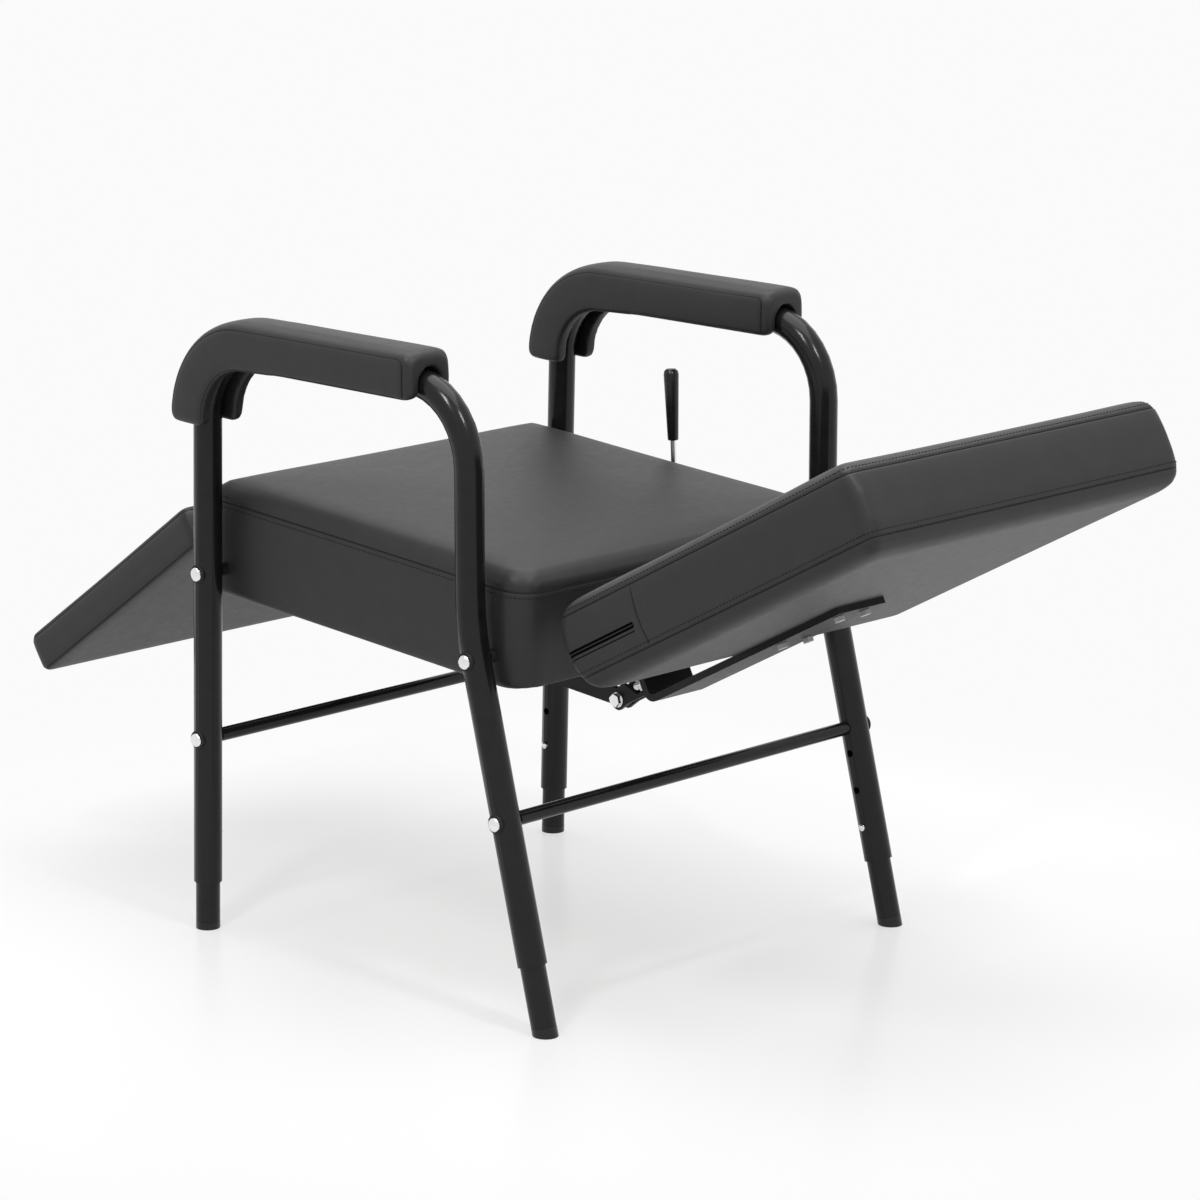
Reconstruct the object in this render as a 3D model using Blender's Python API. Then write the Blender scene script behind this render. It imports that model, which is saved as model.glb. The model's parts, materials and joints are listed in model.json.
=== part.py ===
"""Reclining shampoo chair: tube side frames, seat, backrest and legrest joined by a push rod.

Metres, +Z up. The chair faces -Y and the sitter's left is +X. The floor is z = 0.
"""

import math

import bmesh
import bpy
from mathutils import Matrix, Vector

# Clearances
GAP = 0.0003
RUNNING_GAP = 0.0005

# Place of the whole chair: moves the origin under the middle of its box
CHAIR_Y = -0.05197

# Main sizes of the seat, which the frame, hinges and cushions are placed from
SEAT_HALF_WIDTH = 0.2505
SEAT_DEPTH = 0.485
SEAT_Y = -0.014

# Side frames
TUBE_RADIUS = 0.016
TUBE_WALL = 0.002
TUBE_SIDES = 16
FRAME_BESIDE_SEAT = 0.0245
FRAME_X = SEAT_HALF_WIDTH + FRAME_BESIDE_SEAT
FOOT_BEHIND_SEAT_FRONT = 0.0065
FRONT_FOOT_Y = SEAT_Y - SEAT_DEPTH / 2 + FOOT_BEHIND_SEAT_FRONT
FRONT_LEG_LEAN = math.radians(1.70)
POST_AHEAD_OF_SEAT_REAR = 0.0465
REAR_POST_Y = SEAT_Y + SEAT_DEPTH / 2 - POST_AHEAD_OF_SEAT_REAR
REAR_KINK_Z = 0.4215
REAR_LEG_LEAN = math.radians(14.6)
ARM_Z = 0.6735
ARM_BEND_RADIUS = 0.085
KINK_BEND_RADIUS = 0.300
BEND_STEPS = 9
KINK_STEPS = 3
FRONT_TUBE_END_Z = 0.0554
REAR_TUBE_END_Z = 0.0728

# Telescopic leg ends
LEG_RADIUS = 0.01375
LEG_WALL = 0.0015
LEG_END_Z = 0.009
LEG_ABOVE_BUTTON = 0.024
BUTTON_Z = 0.111
BUTTON_PITCH = 0.0425
BUTTON_HOLES = 3
BUTTON_RADIUS = 0.004
BUTTON_PROUD = 0.0035
BUTTON_FLANGE_RADIUS = 0.0055
BUTTON_FLANGE = 0.0015
CAP_PLUG_LENGTH = 0.014
CAP_BELOW_TUBE = 0.020

# Cross bars and frame bolts
CROSSBAR_RADIUS = 0.00775
FRONT_CROSSBAR_Z = 0.2230
REAR_CROSSBAR_Z = 0.2214
SEAT_BOLT_FRONT_Z = 0.4135
SEAT_BOLT_REAR_Z = 0.3886
BOLT_HEAD_RADIUS = 0.008
BOLT_HEAD_HEIGHT = 0.005
BOLT_SHANK_RADIUS = 0.003
BOLT_INTO_CROSSBAR = 0.030
SPACER_RADIUS = 0.007

# Arm pads
PAD_HALF_WIDTH = 0.032
PAD_ABOVE_TUBE = 0.0335
PAD_BELOW_TUBE = 0.0170
PAD_AHEAD_OF_LEG = 0.0240
PAD_BEHIND_LEG = 0.0250
PAD_CORNER = 0.012
PAD_LIP = 0.004
PAD_AHEAD_OF_POST = 0.045
PAD_REAR_Y = REAR_POST_Y - PAD_AHEAD_OF_POST
PAD_LOWER_Z = 0.585
PAD_CROWN = 0.0015

# Loops of every cushion
LEAST_CORNER = 0.002
CORNER_SHARE = 0.9
CORNER_STEPS = 4
EDGE_STEPS = 5
CROWN_STEPS = 4
CROWN_INSET_SHARE = 0.80
CROWN_CORNER_SHARE = 0.4
EDGE_DRAW = 0.0015

# Seat
SEAT_BOTTOM_Z = 0.3709
SEAT_TILT = math.radians(-2.99)
SEAT_SEAM_HEIGHT = 0.1035
SEAT_EDGE_HEIGHT = 0.1275
SEAT_CROWN = 0.0085
SEAT_CORNER = 0.035
SEAT_LOW_ROUND = 0.004
SEAM_HALF_WIDTH = 0.003
SEAM_DEPTH = 0.0015
SEAT_WALL = 0.018
SEAT_END_WALL = 0.008
SEAT_FRAME_WIDTH = 0.008
SEAT_FRAME_LOW = 0.015
SEAT_FRAME_HEIGHT = 0.030
BOARD_THICKNESS = 0.012

# Backrest, in its own frame at the hinge: y up its slope, z out of its front
HINGE_BEHIND_SEAT = 0.0165
BACK_HINGE_Y = SEAT_Y + SEAT_DEPTH / 2 + HINGE_BEHIND_SEAT
BACK_HINGE_Z = 0.420
BACK_SLOPE = math.radians(28.2)
BACK_INSIDE_SEAT = 0.0075
BACK_HALF_WIDTH = SEAT_HALF_WIDTH - BACK_INSIDE_SEAT
BACK_LENGTH = 0.4525
BACK_FROM_HINGE = 0.0303
BACK_THICKNESS = 0.1015
BACK_BELOW_HINGE = 0.0818
BACK_CROWN = 0.010
BACK_CORNER = 0.028
BACK_BOARD_INSET = 0.026
BACK_BOARD_SKIN = 0.002
BULLNOSE_LENGTH = 0.030

# Bracket under the backrest
BACK_BAR_HALF_WIDTH = 0.0365
BACK_BAR_THICKNESS = 0.008
BACK_BAR_START = -0.0885
BACK_BAR_LENGTH = 0.3118
BACK_BAR_FLANGE = 0.034
BACK_BAR_BEND = 0.014
BAR_BOLT_X = 0.020
BAR_BOLT_FROM_END = 0.0173
BAR_BOLT_FROM_BOARD_EDGE = 0.0295
BAR_BOLT_RADIUS = 0.0065
BAR_BOLT_HEAD = 0.005

# Push rod and its two clevises
ROD_PIN_FROM_HINGE_Y = -0.1065
ROD_PIN_FROM_HINGE_Z = -0.133
ROD_HEIGHT = 0.019
ROD_THICKNESS = 0.008
ROD_PIN_RADIUS = 0.004
CLEVIS_PLATE = 0.005
CLEVIS_EYE = 0.012
CLEVIS_ROOT = 0.012
LUG_RISE = 0.0145
LUG_RISE_AHEAD = 0.015
LUG_SHOULDER_AHEAD = 0.030
LUG_SHOULDER_DROP = 0.0034
LUG_FLANGE_OVERLAP = 0.004
LUG_FOOT_AHEAD = 0.0122
LUG_FOOT_RISE = 0.0146
ROD_NOTCHES = 4
ROD_NOTCH_PITCH = 0.014
ROD_NOTCH_DEPTH = 0.004
ROD_NOTCH_TOP_HALF = 0.003
ROD_NOTCH_LOW_HALF = 0.002
ROD_PIN_TAIL = 0.008
ROD_PIN_WASHER_RADIUS = 0.0085
ROD_PIN_WASHER = 0.0012
ROD_PIN_HEAD_RADIUS = 0.0075
ROD_PIN_HEAD = 0.0065

# Legrest, in its own frame at the hinge: -y down its slope, z out of its top
HINGE_AHEAD_OF_SEAT = 0.0235
LEG_HINGE_Y = SEAT_Y - SEAT_DEPTH / 2 - HINGE_AHEAD_OF_SEAT
LEG_HINGE_Z = 0.462
LEG_SLOPE = math.radians(35.0)
LEGREST_INSIDE_SEAT = 0.0155
LEGREST_HALF_WIDTH = SEAT_HALF_WIDTH - LEGREST_INSIDE_SEAT
LEGREST_FROM_HINGE = 0.030
LEGREST_LENGTH = 0.3445
LEGREST_THICKNESS = 0.0416
LEGREST_BELOW_HINGE = 0.0137
LEGREST_CROWN = 0.006
LEGREST_CORNER = 0.022
LEGREST_BOARD_INSET = 0.020
LEGREST_BAR_HALF_WIDTH = 0.030
LEGREST_BAR_THICKNESS = 0.006
LEGREST_BAR_LENGTH = 0.150

# Hinges between the seat frame and the two moving cushions
HINGE_X = 0.130
HINGE_PLATE = 0.005
HINGE_EYE = 0.009
HINGE_PIN_RADIUS = 0.004
HINGE_HEAD_RADIUS = 0.007
HINGE_HEAD = 0.003
TONGUE_LENGTH = 0.085
TONGUE_HEIGHT = 0.012
EAR_ROOT = 0.006
EAR_SHOULDER = 0.020
EAR_WAIST_SHARE = 0.3
PIN_CHAMFER = 0.001
PIN_POINT = 0.002
SLOT_OVER_EYE = 0.002

# Release lever on the sitter's right
LEVER_BESIDE_SEAT = 0.0115
LEVER_X = -SEAT_HALF_WIDTH - LEVER_BESIDE_SEAT
LEVER_AHEAD = 0.017
LEVER_Y = SEAT_Y - LEVER_AHEAD
LEVER_Z = 0.352
LEVER_LEAN = math.radians(2.6)
LEVER_RADIUS = 0.00325
LEVER_BEND = 0.014
LEVER_TOP = 0.238
GRIP_LENGTH = 0.083
GRIP_TOP_RADIUS = 0.0088
GRIP_LOW_RADIUS = 0.0063
GRIP_OVER_ROD = 0.008
GRIP_LOW_ROUND = 0.0006
GRIP_TOP_ROUND = 0.0035
LEVER_INNER_X = 0.008
INNER_BEARING_X = -0.050
BEARING_THICKNESS = 0.005
BEARING_HALF_WIDTH = 0.014
PAWL_THICKNESS = 0.008
PAWL_EYE = 0.009
PAWL_TIP_HALF = 0.0016

# Cutter overrun, overlap of welded pieces, and the angle above which an edge stays sharp
DRILL = 0.006
WELD_OVERLAP = 0.001
SHARP_ANGLE = math.radians(35)

# Paint and upholstery
PAINT = ("black_paint", (0.012, 0.012, 0.013), 0.35, 0.0)
CHROME = ("chrome", (0.80, 0.80, 0.80), 0.12, 1.0)
LEATHER = ("black_leatherette", (0.030, 0.030, 0.031), 0.55, 0.0)
PLYWOOD = ("plywood", (0.42, 0.29, 0.16), 0.75, 0.0)
PLASTIC = ("black_plastic", (0.016, 0.016, 0.017), 0.42, 0.0)
STEEL = ("zinc_steel", (0.45, 0.45, 0.44), 0.40, 1.0)


def clear_scene():
    for old in list(bpy.data.objects):
        bpy.data.objects.remove(old, do_unlink=True)


def material(finish):
    """The material of one finish: its name, colour, roughness and metallic value."""
    name, colour, roughness, metallic = finish
    made = bpy.data.materials.get(name)
    if made is None:
        made = bpy.data.materials.new(name)
        made.use_nodes = True
        shader = made.node_tree.nodes["Principled BSDF"]
        shader.inputs["Base Color"].default_value = (*colour, 1.0)
        shader.inputs["Roughness"].default_value = roughness
        shader.inputs["Metallic"].default_value = metallic
    return made


def datum(name, place, turn=0.0, parent=None):
    """An empty that pieces hang on, turned about X."""
    empty = bpy.data.objects.new(name, None)
    bpy.context.scene.collection.objects.link(empty)
    empty.location = place
    empty.rotation_euler = (turn, 0.0, 0.0)
    empty.parent = parent
    return empty


def solid(name, points, faces, finish, parent, helper=False):
    """A closed mesh object with its faces turned outwards."""
    mesh = bpy.data.meshes.new(name)
    mesh.from_pydata(points, [], faces)
    shape = bmesh.new()
    shape.from_mesh(mesh)
    bmesh.ops.recalc_face_normals(shape, faces=shape.faces)
    shape.to_mesh(mesh)
    shape.free()
    made = bpy.data.objects.new(name, mesh)
    bpy.context.scene.collection.objects.link(made)
    made.parent = parent
    if helper:
        made.hide_render = True
        made.display_type = "WIRE"
    else:
        mesh.materials.append(material(finish))
        mesh.shade_smooth()
        mesh.set_sharp_from_angle(angle=SHARP_ANGLE)
    return made


def lofted(rings):
    """Points and faces of rings joined one to the next, with both ends closed."""
    count = len(rings[0])
    points = [point for ring in rings for point in ring]
    faces = []
    for row in range(len(rings) - 1):
        for i in range(count):
            j = (i + 1) % count
            low, high = row * count, (row + 1) * count
            faces.append((low + i, low + j, high + j, high + i))
    faces.append(tuple(range(count)))
    faces.append(tuple(range((len(rings) - 1) * count, len(rings) * count)))
    return points, faces


def arc(centre, radius, start, end, steps):
    """Points on an arc, angles in degrees from +Y towards +Z."""
    found = []
    for i in range(steps + 1):
        angle = math.radians(start + (end - start) * i / steps)
        found.append((centre[0] + radius * math.cos(angle), centre[1] + radius * math.sin(angle)))
    return found


def plate(name, outline, low_x, high_x, finish, parent, helper=False):
    """A flat plate: an outline of (y, z) points between two x values."""
    rings = [[(x, y, z) for y, z in outline] for x in (low_x, high_x)]
    return solid(name, *lofted(rings), finish, parent, helper)


def block(name, low, high, finish, parent, helper=False):
    outline = [(low[1], low[2]), (high[1], low[2]), (high[1], high[2]), (low[1], high[2])]
    return plate(name, outline, low[0], high[0], finish, parent, helper)


def turned(name, start, direction, profile, finish, parent, sides=16, hexed=(), helper=False):
    """A turned piece: (radius, height) pairs along a direction. Rows in hexed become hexagons."""
    along = Vector(direction).normalized()
    side = along.orthogonal().normalized()
    up = along.cross(side)
    rings = []
    for row, (radius, height) in enumerate(profile):
        ring = []
        for i in range(sides):
            angle = 2 * math.pi * i / sides
            reach = radius
            if row in hexed:
                part = (angle % (math.pi / 3)) - math.pi / 6
                reach = radius * math.cos(math.pi / 6) / math.cos(part)
            spot = Vector(start) + along * height
            ring.append(tuple(spot + side * (reach * math.cos(angle)) + up * (reach * math.sin(angle))))
        rings.append(ring)
    return solid(name, *lofted(rings), finish, parent, helper)


def cut(target, cutter, operation="DIFFERENCE"):
    step = target.modifiers.new(cutter.name, "BOOLEAN")
    step.operation = operation
    step.solver = "EXACT"
    step.object = cutter


def drill(target, start, end, radius, parent):
    """A round hole from start to end through a target that hangs on the same parent."""
    way = Vector(end) - Vector(start)
    name = f"drill_{target.name}_{len(target.modifiers)}"
    cutter = turned(name, start, way, [(radius, 0.0), (radius, way.length)], None, parent, 12, helper=True)
    cut(target, cutter)


def weld(target, other):
    """Joins a helper solid to a target."""
    cut(target, other, "UNION")


def rounded_path(corners, radii, steps):
    """A (y, z) path whose inner corners are arcs of the given radii."""
    path = [Vector(corners[0])]
    for before, corner, after, radius, count in zip(corners, corners[1:], corners[2:], radii, steps):
        back = (Vector(before) - Vector(corner)).normalized()
        ahead = (Vector(after) - Vector(corner)).normalized()
        half = back.angle(ahead) / 2
        centre = Vector(corner) + (back + ahead).normalized() * (radius / math.sin(half))
        start = Vector(corner) + back * (radius / math.tan(half)) - centre
        turn = math.copysign(math.pi - 2 * half, start.x * ahead.y - start.y * ahead.x)
        for i in range(count + 1):
            path.append(centre + Matrix.Rotation(turn * i / count, 2) @ start)
    path.append(Vector(corners[-1]))
    return path


def path_normals(path):
    """At each path point, the unit vector that lies to the left of travel in the (y, z) plane."""
    found = []
    for i in range(len(path)):
        ahead = (path[min(i + 1, len(path) - 1)] - path[i]) if i + 1 < len(path) else Vector((0, 0))
        behind = (path[i] - path[i - 1]) if i else Vector((0, 0))
        way = (ahead.normalized() + behind.normalized()).normalized()
        found.append(Vector((-way.y, way.x)))
    return found


def ring_along(x, spot, normal, radius):
    ring = []
    for i in range(TUBE_SIDES):
        angle = 2 * math.pi * (i + 0.5) / TUBE_SIDES
        across = radius * math.sin(angle)
        ring.append((x + radius * math.cos(angle), spot.x + normal.x * across, spot.y + normal.y * across))
    return ring


def tube(name, x, path, outer, wall, finish, parent):
    """An open-ended tube along a (y, z) path in the plane of one x."""
    normals = path_normals(path)
    rings = [ring_along(x, p, n, outer) for p, n in zip(path, normals)]
    rings += [ring_along(x, p, n, outer - wall) for p, n in reversed(list(zip(path, normals)))]
    points, faces = lofted(rings)
    faces = faces[:-2]
    count, last = TUBE_SIDES, (len(rings) - 1) * TUBE_SIDES
    for i in range(count):
        j = (i + 1) % count
        faces.append((last + i, last + j, j, i))
    return solid(name, points, faces, finish, parent)


# Lines of the legs in the side plane
def front_leg(z):
    return Vector((FRONT_FOOT_Y + z * math.tan(FRONT_LEG_LEAN), z))


def rear_leg(z):
    return Vector((REAR_POST_Y + (REAR_KINK_Z - z) * math.tan(REAR_LEG_LEAN), z))


FRONT_LEG_WAY = (front_leg(1.0) - front_leg(0.0)).normalized()
REAR_LEG_WAY = (rear_leg(0.2) - rear_leg(0.0)).normalized()
FRAME_BOLTS = {
    "front_upper": front_leg(SEAT_BOLT_FRONT_Z),
    "front_lower": front_leg(FRONT_CROSSBAR_Z),
    "rear_upper": rear_leg(SEAT_BOLT_REAR_Z),
    "rear_lower": rear_leg(REAR_CROSSBAR_Z),
}
LEGS = {"front": (front_leg, FRONT_LEG_WAY), "rear": (rear_leg, REAR_LEG_WAY)}
SIDES = {"left": 1, "right": -1}


def frame_path():
    corners = [
        front_leg(FRONT_TUBE_END_Z),
        front_leg(ARM_Z),
        Vector((REAR_POST_Y, ARM_Z)),
        Vector((REAR_POST_Y, REAR_KINK_Z)),
        rear_leg(REAR_TUBE_END_Z),
    ]
    radii = (ARM_BEND_RADIUS, ARM_BEND_RADIUS, KINK_BEND_RADIUS)
    return rounded_path(corners, radii, (BEND_STEPS, BEND_STEPS, KINK_STEPS))


def button_spots(leg, way):
    """Centres of a leg's row of button holes, lowest first."""
    return [leg(BUTTON_Z) + way * (BUTTON_PITCH * i) for i in range(BUTTON_HOLES)]


def side_frame(label, sign, chair):
    x = sign * FRAME_X
    made = tube(f"{label}_side_frame", x, frame_path(), TUBE_RADIUS, TUBE_WALL, PAINT, chair)
    reach = TUBE_RADIUS + DRILL
    for leg, way in LEGS.values():
        for spot in button_spots(leg, way):
            drill(made, (x, *spot), (x - sign * reach, *spot), BUTTON_RADIUS + GAP, chair)
    for spot in FRAME_BOLTS.values():
        drill(made, (x - reach, *spot), (x + reach, *spot), BOLT_SHANK_RADIUS + GAP, chair)


def leg_end(label, which, sign, chair):
    """A telescopic leg end with its snap button and floor cap."""
    leg, way = LEGS[which]
    x = sign * FRAME_X
    name = f"{which}_{label}"
    spot = leg(BUTTON_Z)
    path = [leg(LEG_END_Z), spot + way * LEG_ABOVE_BUTTON]
    made = tube(f"{name}_leg_end", x, path, LEG_RADIUS, LEG_WALL, PAINT, chair)
    drill(made, (x, *spot), (x - sign * (LEG_RADIUS + DRILL), *spot), BUTTON_RADIUS + GAP, chair)
    bore = LEG_RADIUS - LEG_WALL
    top = TUBE_RADIUS + BUTTON_PROUD
    shoulder = math.sqrt(bore**2 - BUTTON_FLANGE_RADIUS**2) - GAP - BUTTON_FLANGE
    profile = [
        (BUTTON_FLANGE_RADIUS, shoulder),
        (BUTTON_FLANGE_RADIUS, shoulder + BUTTON_FLANGE),
        (BUTTON_RADIUS, shoulder + BUTTON_FLANGE),
        (BUTTON_RADIUS, top - 0.4 * BUTTON_PROUD),
        (0.75 * BUTTON_RADIUS, top - 0.1 * BUTTON_PROUD),
        (0.3 * BUTTON_RADIUS, top),
    ]
    turned(f"{name}_snap_button", (x, *spot), (-sign, 0, 0), profile, CHROME, chair, 12)
    floor_cap(f"{name}_floor_cap", x, leg, way, chair)


def floor_cap(name, x, leg, way, chair):
    """A plug in the leg's end whose foot is cut level with the floor."""
    end = leg(LEG_END_Z)
    bore = LEG_RADIUS - LEG_WALL - GAP
    profile = [
        (LEG_RADIUS, -CAP_BELOW_TUBE),
        (LEG_RADIUS, -GAP),
        (bore, -GAP),
        (bore, CAP_PLUG_LENGTH),
    ]
    made = turned(name, (x, *end), (0, *way), profile, PLASTIC, chair, TUBE_SIDES)
    shape = bmesh.new()
    shape.from_mesh(made.data)
    whole = shape.verts[:] + shape.edges[:] + shape.faces[:]
    sliced = bmesh.ops.bisect_plane(
        shape, geom=whole, plane_co=(0, 0, 0), plane_no=(0, 0, -1), clear_outer=True
    )
    rim = [part for part in sliced["geom_cut"] if isinstance(part, bmesh.types.BMEdge)]
    bmesh.ops.contextual_create(shape, geom=rim)
    bmesh.ops.recalc_face_normals(shape, faces=shape.faces)
    shape.to_mesh(made.data)
    shape.free()


def crossbar(name, spot, chair):
    half = FRAME_X - TUBE_RADIUS - GAP
    profile = [(CROSSBAR_RADIUS, 0.0), (CROSSBAR_RADIUS, 2 * half)]
    made = turned(name, (-half, *spot), (1, 0, 0), profile, PAINT, chair, 16)
    for sign in SIDES.values():
        inner = half - BOLT_INTO_CROSSBAR - GAP
        drill(made, (sign * inner, *spot), (sign * (half + DRILL), *spot), BOLT_SHANK_RADIUS + GAP, chair)


def frame_bolt(name, spot, sign, depth, chair):
    """A dome-headed bolt through a leg tube, depth metres long below its head."""
    seat = sign * (FRAME_X + TUBE_RADIUS + GAP)
    rise = BOLT_HEAD_HEIGHT
    profile = [
        (BOLT_SHANK_RADIUS, -depth),
        (BOLT_SHANK_RADIUS, 0.0),
        (BOLT_HEAD_RADIUS, 0.0),
        (BOLT_HEAD_RADIUS, 0.35 * rise),
        (0.86 * BOLT_HEAD_RADIUS, 0.68 * rise),
        (0.55 * BOLT_HEAD_RADIUS, 0.93 * rise),
        (0.15 * BOLT_HEAD_RADIUS, rise),
    ]
    turned(name, (seat, *spot), (sign, 0, 0), profile, CHROME, chair, 16)


def seat_rail_x():
    """Outer side of the seat frame's side rails."""
    return SEAT_HALF_WIDTH - SEAT_WALL


def frame_bolts(chair):
    for label, sign in SIDES.items():
        for place, spot in FRAME_BOLTS.items():
            if place.endswith("lower"):
                depth = 2 * TUBE_RADIUS + 2 * GAP + BOLT_INTO_CROSSBAR
            else:
                depth = FRAME_X + TUBE_RADIUS + GAP - seat_rail_x() + SEAT_FRAME_WIDTH / 2
            frame_bolt(f"{place}_{label}_bolt", spot, sign, depth, chair)
            if place.endswith("upper"):
                seat_spacer(f"{place}_{label}_spacer", spot, sign, chair)


def seat_spacer(name, spot, sign, chair):
    """A sleeve between a leg tube and the seat frame."""
    start = seat_rail_x() + GAP
    length = FRAME_X - TUBE_RADIUS - GAP - start
    profile = [(SPACER_RADIUS, 0.0), (SPACER_RADIUS, length)]
    made = turned(name, (sign * start, *spot), (sign, 0, 0), profile, STEEL, chair, 16)
    ends = (sign * (start - DRILL), *spot), (sign * (start + length + DRILL), *spot)
    drill(made, *ends, BOLT_SHANK_RADIUS + GAP, chair)


def pad_path():
    """The pad's line: up the front leg, round the bend and straight back along the arm."""
    corners = [front_leg(PAD_LOWER_Z), front_leg(ARM_Z), Vector((PAD_REAR_Y, ARM_Z))]
    return rounded_path(corners, (ARM_BEND_RADIUS,), (BEND_STEPS,))


def pad_section(above, below):
    """Half-way round U section: (across, out) points, with the tube's groove open below."""
    groove = TUBE_RADIUS + RUNNING_GAP
    half_step = 180 / TUBE_SIDES
    wide, corner, lip = PAD_HALF_WIDTH, PAD_CORNER, PAD_LIP
    outline = []
    outline += arc((wide - lip, -below + lip), lip, -90, 0, 2)
    outline += [(wide, 0.0)]
    outline += arc((wide - corner, above - corner), corner, 0, 90, 4)
    outline += [(0.0, above + PAD_CROWN)]
    outline += arc((corner - wide, above - corner), corner, 90, 180, 4)
    outline += [(-wide, 0.0)]
    outline += arc((lip - wide, -below + lip), lip, 180, 270, 2)
    outline += [(-groove, -below)]
    outline += arc((0.0, 0.0), groove, 180 - half_step, half_step, TUBE_SIDES // 2 - 1)
    outline += [(groove, -below)]
    return outline


def arm_pad(label, sign, chair):
    path = pad_path()
    normals = path_normals(path)
    bend = [i / (len(path) - 1) for i in range(len(path))]
    rings = []
    for spot, normal, share in zip(path, normals, bend):
        above = PAD_AHEAD_OF_LEG + (PAD_ABOVE_TUBE - PAD_AHEAD_OF_LEG) * share
        below = PAD_BEHIND_LEG + (PAD_BELOW_TUBE - PAD_BEHIND_LEG) * share
        ring = []
        for across, out in pad_section(above, below):
            ring.append((sign * FRAME_X + across, spot.x + normal.x * out, spot.y + normal.y * out))
        rings.append(ring)
    solid(f"{label}_arm_pad", *lofted(rings), LEATHER, chair)


def cushion_ring(half, low, high, corner, height, drawn):
    """One loop round a cushion: a rounded rectangle whose sides are drawn in between the corners."""
    ring = []
    middle, reach = (low + high) / 2, (high - low) / 2
    corner = min(max(corner, LEAST_CORNER), CORNER_SHARE * half, CORNER_SHARE * reach)
    centres = [(half - corner, high - corner), (corner - half, high - corner),
               (corner - half, low + corner), (half - corner, low + corner)]
    for quarter, centre in enumerate(centres):
        turn = arc(centre, corner, 90 * quarter, 90 * quarter + 90, CORNER_STEPS)
        follow = centres[(quarter + 1) % 4]
        start = turn[-1]
        end = arc(follow, corner, 90 * quarter + 90, 90 * quarter + 90, 1)[0]
        ring += turn
        for i in range(1, EDGE_STEPS):
            share = i / EDGE_STEPS
            x = start[0] + (end[0] - start[0]) * share
            y = start[1] + (end[1] - start[1]) * share
            pull = drawn * math.sin(math.pi * share) ** 0.8
            if quarter % 2:
                x -= math.copysign(pull, x)
            else:
                y -= math.copysign(pull, y - middle)
            ring.append((x, y))
    return [(x, y, height) for x, y in ring]


def cushion(name, half, low, high, corner, levels, crown, parent):
    """A crowned cushion from loops of (height, side inset, low inset, high inset, draw)."""
    rings = []
    for height, side, low_in, high_in, drawn in levels:
        ring_corner = corner - min(side, low_in, high_in)
        rings.append(cushion_ring(half - side, low + low_in, high - high_in, ring_corner, height, drawn))
    top, side, low_in, high_in, _ = levels[-1]
    for i in range(1, CROWN_STEPS + 1):
        share = i / CROWN_STEPS
        more = (min(half, (high - low) / 2) - side) * CROWN_INSET_SHARE * share
        rise = crown * math.sin(math.pi / 2 * share)
        ring_corner = max(corner - side, LEAST_CORNER) + CROWN_CORNER_SHARE * more
        shape = (half - side - more, low + low_in + more, high - high_in - more)
        rings.append(cushion_ring(*shape, ring_corner, top + rise, 0.0))
    return solid(name, *lofted(rings), LEATHER, parent)


def seat_place(y, z):
    """A chair point (y, z) in the seat's tilted frame."""
    rest = Matrix.Rotation(-SEAT_TILT, 2) @ Vector((y - SEAT_Y, z - SEAT_BOTTOM_Z))
    return rest.x, rest.y


def seat(seat_datum):
    half, reach = SEAT_HALF_WIDTH, SEAT_DEPTH / 2
    seam, edge = SEAT_SEAM_HEIGHT, SEAT_EDGE_HEIGHT
    rise = edge - seam
    levels = [
        (0.0, SEAT_LOW_ROUND, 0.67 * EDGE_DRAW),
        (SEAT_LOW_ROUND, 0.0, 0.8 * EDGE_DRAW),
        (0.5 * seam, 0.0, EDGE_DRAW),
        (seam - SEAM_HALF_WIDTH, 0.0, EDGE_DRAW),
        (seam, SEAM_DEPTH, EDGE_DRAW),
        (seam + SEAM_HALF_WIDTH, 0.0, EDGE_DRAW),
        (seam + 0.55 * rise, 0.10 * rise, EDGE_DRAW),
        (seam + 0.85 * rise, 0.33 * rise, 0.67 * EDGE_DRAW),
        (edge, 0.75 * rise, 0.0),
    ]
    levels = [(height, inset, inset, inset, drawn) for height, inset, drawn in levels]
    made = cushion("seat_cushion", half, -reach, reach, SEAT_CORNER, levels, SEAT_CROWN, seat_datum)
    rail_x, rail_y = seat_rail_x(), reach - SEAT_END_WALL
    board_low = SEAT_FRAME_LOW + SEAT_FRAME_HEIGHT + GAP
    board_high = board_low + BOARD_THICKNESS
    low = (-rail_x - GAP, -rail_y - GAP, -DRILL)
    high = (rail_x + GAP, rail_y + GAP, board_high + GAP)
    cut(made, block("seat_pocket", low, high, None, seat_datum, True))
    for spot in (FRAME_BOLTS["front_upper"], FRAME_BOLTS["rear_upper"]):
        y, z = seat_place(*spot)
        for sign in SIDES.values():
            ends = (sign * (rail_x - DRILL), y, z), (sign * (half + DRILL), y, z)
            drill(made, *ends, SPACER_RADIUS + GAP, seat_datum)
    block("seat_board", (-rail_x, -rail_y, board_low), (rail_x, rail_y, board_high), PLYWOOD, seat_datum)
    seat_frame(made, rail_x, rail_y, seat_datum)


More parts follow.
